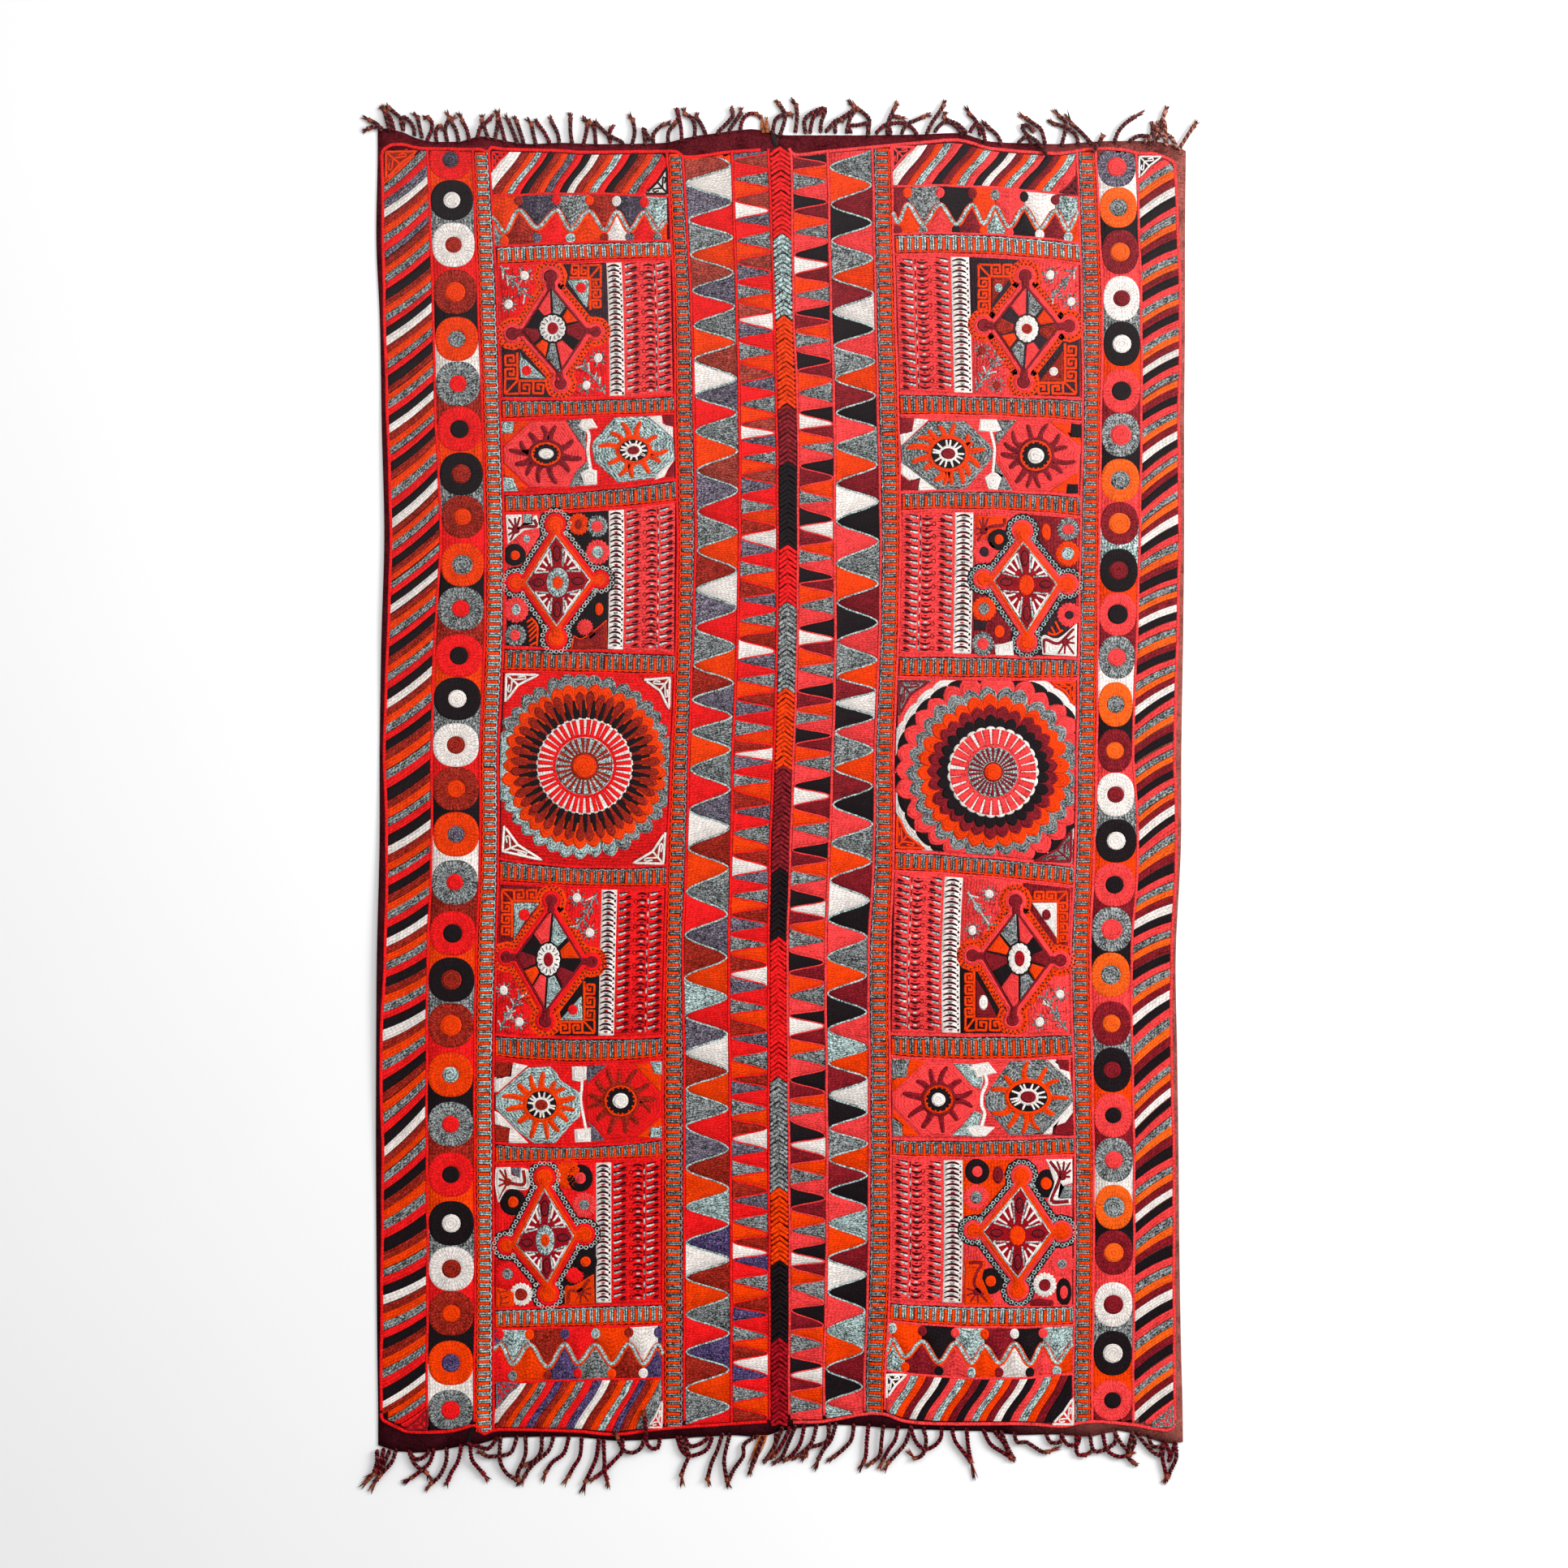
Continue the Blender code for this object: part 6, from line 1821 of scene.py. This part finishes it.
def addCord(work, places, tied, tones):
    # One cord of two plies from the cloth's end to its knot, then its tuft
    plan = fringeWork
    ply = plan["plyRadius"]
    centre = curve(places[:-1] if tied else places, 1.8)
    share = np.linspace(0, 1, len(centre))
    heading, side = headings(centre)
    run = runOf(centre)
    climb = np.clip((overCloth(centre) - 3) / 4, 0, 1) * (floorUnder(centre) + clothThick + 0.0028)
    ends = (1 - share) if tied else abs(1 - 2 * share)
    middle = 2.1 * ply * chartStep + floorUnder(centre[:1]) * ends ** 2 + climb
    middle = middle + 0.0016 * chance.random() * np.sin(share * math.pi)
    start = chance.random() * 6.3
    for half, tone in zip((0, math.pi), tones):
        turn = start + half + run / plan["twist"] * 2 * math.pi
        strand = centre + side * (np.cos(turn) * ply)[:, None]
        work.addTube(strand, ply, tone, plan["sides"], middle + np.sin(turn) * ply * chartStep)
    if not tied:
        return
    # the knot: yarn wound twice round the cord
    tip = places[-1] - centre[-1]
    reach = norm(tip)
    ahead = tip / reach
    aside = turned(ahead)
    wind = np.linspace(0, 4.6 * math.pi, 16)
    along = np.linspace(-2.4, 2.4, 16)
    around = centre[-1] + heading[-1] * along[:, None] + side[-1] * (np.cos(wind) * 2.2)[:, None]
    work.addTube(around, np.interp(along, [-2.4, -1.4, 1.4, 2.4], [1.1, 1.9, 1.9, 1.1]),
                 chance.choice(["fleck", "fleck", tones[1]]), 5, middle[-1] + np.sin(wind) * 1.7 * chartStep)
    # the tuft: loose ends that spread out and thin away
    for end in range(8):
        steps = np.linspace(0, 1, 5)[:, None]
        length = (reach - 1) * (0.75 + 0.5 * chance.random())
        spread = (end - 3.5) * 0.85 * steps ** 1.1 + wobble() * 1.2 * steps ** 2
        work.addTube(centre[-1] + ahead * (1 + length * steps) + aside * spread,
                     np.interp(steps[:, 0], [0, 0.6, 1], [1.15, 0.9, 0.15]),
                     chance.choice(["wine", tones[1], "fleck"]), 4,
                     np.linspace(middle[-1], middle[-1] * 0.5, 5) + 0.5 * chance.random() * chartStep)


def tieFringe(end, side):
    work = YarnWork()
    if (end, side) == ("top", "left"):
        # painted shade: a black band for the shadow in the fold at the head of the join
        work.addBand(curve(spots("951,161 953,168 954,174 957,181"), 2), 6, "black", lift=0.0006, rise=0.0012, rows=2)
    if (end, side) == ("bottom", "left"):
        # painted shade: a black band for the shadow in a pinched fold across the end
        work.addBand(curve(spots("584,1752 582,1762 578,1771 577,1781"), 2), 4.6, "black", lift=0.0010,
                     rise=0.0010, rows=2)
    for entry in entriesOf(fringeWork[end][side]):
        places = spots(entry.replace("loop", ""))
        inward = np.array([(0, 2.0 if end == "top" else -2.0)])
        tied = "loop" not in entry
        places = np.concatenate([places[:1] + inward, places] + ([] if tied else [places[-1:] + inward]))
        if end == "top" and places[0, 0] > 1430:
            tones = ("umber", "buff")
        else:
            # the second ply is lighter: partly the yarn's own brown, partly a painted highlight on the twist
            tones = ("wine", chance.choice(["umber", "umber", "maroon"]))
        addCord(work, places, tied, tones)
    if (end, side) in fringeWork["loose"]:
        root, tip = spots(fringeWork["loose"][end, side])
        for _ in range(20):
            shift = np.array([chance.uniform(-5, 5), 0])
            bend = chance.uniform(-2, 2, 2)
            steps = np.linspace(0, 1, 6)[:, None]
            line = root + shift + (tip - root) * steps * chance.uniform(0.6, 1.0) + bend * np.sin(steps * 4)
            work.addTube(line, np.linspace(0.8, 0.3, 6), chance.choice(["straw", "straw", "fleck"]), 4,
                         0.0032 + 0.002 * chance.random())
    piece = work.finish("fringe" + end.capitalize() + side.capitalize(), cordWool, "warp_wool")
    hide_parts("fringe_" + end + "_" + side)
    return piece


# Finishes

class Wire:
    # One output of a shader node, so that shader maths reads as plain expressions
    def __init__(self, finish, socket):
        self.finish, self.socket = finish, socket

    def maths(self, operation, *values):
        return self.finish.node("ShaderNodeMath", {"operation": operation}, *values)[0]

    def __rsub__(self, other):
        return self.maths("SUBTRACT", other, self)

    def clamped(self, low, high):
        return self.maths("MINIMUM", self.maths("MAXIMUM", self, low), high)


def wireMethod(operation):
    return lambda self, *others: self.maths(operation, self, *others)


# the operators and the short names that each stand for one node of maths
for name, operation in {
    "__add__": "ADD", "__radd__": "ADD", "__sub__": "SUBTRACT", "__mul__": "MULTIPLY", "__rmul__": "MULTIPLY",
    "__pow__": "POWER", "__abs__": "ABSOLUTE", "fraction": "FRACT", "whole": "FLOOR",
}.items():
    setattr(Wire, name, wireMethod(operation))


class Finish:
    def __init__(self, name):
        self.material = bpy.data.materials.new(name)
        self.material.use_nodes = True
        self.tree = self.material.node_tree
        self.tree.nodes.clear()

    def node(self, kind, settings=None, *values, **named):
        # Adds a node, sets it, and feeds its sockets with numbers or with other nodes' outputs
        made = self.tree.nodes.new(kind)
        for key, value in (settings or {}).items():
            setattr(made, key, value)
        for place, value in list(enumerate(values)) + list(named.items()):
            socket = made.inputs[place if isinstance(place, int) else place.replace("_", " ")]
            if isinstance(value, Wire):
                self.tree.links.new(value.socket, socket)
            elif value is not None:
                socket.default_value = value
        return [Wire(self, socket) for socket in made.outputs if socket.enabled]

    def mix(self, share, first, second, blend="MIX"):
        made = self.tree.nodes.new("ShaderNodeMix")
        made.data_type = "RGBA"
        made.blend_type = blend
        for socket, value in ((made.inputs[0], share), (made.inputs[6], first), (made.inputs[7], second)):
            if isinstance(value, Wire):
                self.tree.links.new(value.socket, socket)
            else:
                socket.default_value = value
        return Wire(self, made.outputs[2])

    def noise(self, scale, detail, roughness=0.5):
        # Soft noise fixed to the blanket, around 0.5
        place = self.node("ShaderNodeTexCoord")[3]
        return self.node("ShaderNodeTexNoise", None, Vector=place, Scale=scale, Detail=detail, Roughness=roughness)[0]

    def parts(self, vector):
        return self.node("ShaderNodeSeparateXYZ", None, vector)

    def scaled(self, colour, light):
        return self.node("ShaderNodeVectorMath", {"operation": "SCALE"}, colour, Scale=light)[0]

    def surface(self, colour, height, depth, **constants):
        bump = self.node("ShaderNodeBump", None, Strength=constants.pop("bump", 0.8), Distance=depth, Height=height)[0]
        shader = self.node("ShaderNodeBsdfPrincipled", None, Base_Color=colour, Normal=bump, **constants)[0]
        self.node("ShaderNodeOutputMaterial", None, shader)
        return self.material


def makeStitchWool(name, sheen):
    # Rows of chain stitch in wool: u counts rows and v counts stitches along them
    wool = Finish(name)
    rows = wool.node("ShaderNodeUVMap", {"uv_map": "rows"})[0]
    across, along, _ = wool.parts(rows)
    wander = wool.noise(130.0, 1.0)
    across = across + (wander - 0.5) * 1.3
    yarn = wool.node("ShaderNodeAttribute", {"attribute_name": "yarn"})
    colour, heather = yarn[0], yarn[3]
    # painted shade: darker along the pads' outlines, where the stitches dip between shapes
    edgeShade = wool.node("ShaderNodeAttribute", {"attribute_name": "edge"})[2]
    row = across.whole()
    fromMiddle = abs(across.fraction() * 2 - 1)
    rowStart = wool.node("ShaderNodeTexWhiteNoise", {"noise_dimensions": "1D"}, W=row)[0]
    stitch = along + rowStart + fromMiddle * 0.32
    inStitch = abs(stitch.fraction() * 2 - 1)
    stitchCell = wool.node("ShaderNodeCombineXYZ", None, row, stitch.whole(), 0.0)[0]
    perStitch = wool.node("ShaderNodeTexWhiteNoise", {"noise_dimensions": "2D"}, stitchCell)[0]
    roll = 1 - fromMiddle * fromMiddle
    link = 1 - inStitch ** 3.0
    height = roll * (link * 0.45 + 0.55)
    fibres = wool.noise(900.0, 2.0, 0.6)
    fleck = wool.noise(430.0, 1.5, 0.65)
    patch = wool.noise(38.0, 2.0)
    # painted shade: darker in the gaps between rows and in the pits between stitches, lighter on the rows' crowns; the
    # noises are the yarn's own uneven tone
    depth = 0.34 + heather * 0.46
    pitShade = (inStitch ** 5.0) * (0.22 + heather * 0.30)
    uneven = (perStitch - 0.5) * (0.14 + heather * 0.3)
    light = 1.10 - (1 - height) * depth - pitShade + (fibres - 0.5) * 0.9 + uneven + (patch - 0.5) * 0.3
    light = (light + heather * ((fleck - 0.5) * 3.8 + (perStitch - 0.5) * 0.4)) * (1 - edgeShade * 0.78)
    # the wools are a little darker and greyer towards the top end
    towardsTop = (wool.parts(wool.node("ShaderNodeTexCoord")[3])[1] * 0.41 + 0.5).clamped(0, 1)
    light = light * (1.13 - towardsTop * 0.13)
    lit = wool.scaled(colour, light.clamped(0.08, 2.1))
    bits = (fleck - 0.60).clamped(0, 1) * 10 * (heather - 0.4).clamped(0, 1)
    pale = wool.mix(bits.clamped(0, 0.5), lit, (0.62, 0.62, 0.6, 1.0))
    pale = wool.mix(towardsTop * towardsTop * 0.022, pale, (0.66, 0.62, 0.6, 1.0))
    relief = height * (heather * 0.5 + 0.5) + (fibres - 0.5) * 0.3
    return wool.surface(pale, relief, 0.0011, bump=0.8, Roughness=1.0, Sheen_Weight=sheen, Sheen_Roughness=0.5,
                        Specular_IOR_Level=0.02)


def makeTwill():
    twill = Finish("twillGround")
    weave = twill.node("ShaderNodeUVMap", {"uv_map": "weave"})[0]
    x, y, _ = twill.parts(weave)
    band = abs((x * (1 / 0.024)).fraction() * 2 - 1) * 0.012
    thread = ((y + band) * (1 / 0.0034)).fraction()
    rib = 1 - abs(thread * 2 - 1)
    noise = twill.noise(340.0, 3.0, 0.75)
    streak = twill.noise(26.0, 3.0)
    # painted shade: darker in the grooves between the ribs; the noise and streaks are the cloth's own uneven tone
    light = 0.5 + rib * 0.7 + (noise - 0.5) * 3.4 + (streak - 0.5) * 1.8
    right = ((x - 0.40) * 2.6).clamped(0, 0.55) + ((x - 0.67) * 16).clamped(0, 0.45)
    far = (y * 0.5 + 0.5).clamped(0, 1)
    dark = twill.mix(far, (0.036, 0.0042, 0.0070, 1.0), (0.106, 0.0105, 0.0155, 1.0))
    ground = twill.mix(right, dark, (0.30, 0.085, 0.068, 1.0))
    lit = twill.scaled(ground, light.clamped(0.1, 2.0))
    return twill.surface(lit, rib + noise * 0.6, 0.0006, bump=0.6, Roughness=1.0, Specular_IOR_Level=0.02)


def makeFloor():
    pale = Finish("paleFloor")
    grain = pale.noise(3.0, 2.0)
    colour = pale.mix(grain, (0.93, 0.93, 0.94, 1.0), (0.95, 0.95, 0.95, 1.0))
    return pale.surface(colour, grain, 0.0002, bump=0.1, Roughness=0.9)


# The columns between the blocks that hold a ladder, as the lines at their left and right
ladderColumns = {
    "left": (("leftDisc", "leftBlockA"), ("leftBlockB", "leftLadder")),
    "right": (("rightBig", "rightBlockA"), ("rightBlockB", "rightLadder")),
}

chainStitch = makeStitchWool("chainStitchWool", 0.0)
cordWool = makeStitchWool("twistedCordWool", 0.02)
twillWool = makeTwill()

clothPieces = {side: weaveCloth(side) for side in ("left", "right")}
print("cloth woven")

for side in ("left", "right"):
    columns, ladders, blocks, medallions = (YarnWork() for _ in range(4))
    sewStripes(columns, side)
    sewRings(columns, side)
    for name in zigzagWork:
        if name.startswith(side):
            sewZigzag(columns, name)
    for leftLine, rightLine in ladderColumns[side]:
        sewLadderColumn(ladders, leftLine, rightLine, hand[side])
    names = list(rowLines[side])
    for above, below in zip(names[:-1], names[1:]):
        if below.startswith("ladder"):
            sewLadderRow(ladders, side, above, below, "aqua" if below in ("ladder1", "ladder8") else "grey")
    sewCords(ladders, side)
    sewPanelBlocks(blocks, medallions, side)
    works = {"columns": columns, "ladders": ladders, "blocks": blocks, "medallions": medallions}
    [work.finish(name + side.capitalize(), chainStitch, "embroidery_" + side)
                  for name, work in works.items()]
print("columns, ladders and blocks sewn")

braid = YarnWork()
sewBraid(braid)
braidPiece = braid.finish("joiningBraid", chainStitch, "braid_wool")
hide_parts("centre_braid")

fringes = {"left": [], "right": []}
for end in ("top", "bottom"):
    for side in ("left", "right"):
        fringes[side].append(tieFringe(end, side))
print("fringes tied")


# Floor, light and camera

bpy.ops.mesh.primitive_plane_add(size=14, location=(0, 0, -0.0004))
floor = bpy.context.object
floor.name = "floor"
floor.data.materials.append(makeFloor())

world = bpy.data.worlds.new("softRoom")
bpy.context.scene.world = world
world.use_nodes = True
background = world.node_tree.nodes["Background"]
background.inputs["Color"].default_value = (1.0, 1.0, 1.0, 1.0)
background.inputs["Strength"].default_value = 0.56

lamps = {
    # place, size in metres, power in watts
    "windowRight": ((3.5, 0.9, 2.4), 1.9, 168),
    "windowTop": ((0.4, 2.6, 3.4), 2.6, 60),
}
for name, (place, size, power) in lamps.items():
    bpy.ops.object.light_add(type="AREA", location=place)
    lamp = bpy.context.object
    lamp.name = name
    lamp.data.size = size
    lamp.data.energy = power
    lamp.rotation_euler = (-lamp.location).to_track_quat("-Z", "Y").to_euler()

# the photo's width in chart steps, the camera's height in metres and its sensor in millimetres
view = {"frameSteps": 1932, "height": 6.0, "sensor": 36.0}
frameWidth = view["frameSteps"] * chartStep
middleX, middleY = toMetres([view["frameSteps"] / 2, view["frameSteps"] / 2])
bpy.ops.object.camera_add(location=(middleX, middleY, view["height"]), rotation=(0, 0, 0))
camera = bpy.context.object
camera.data.sensor_width = view["sensor"]
camera.data.lens = view["sensor"] * view["height"] / frameWidth
bpy.context.scene.camera = camera
bpy.context.scene.view_settings.view_transform = "Standard"
print("camera set")
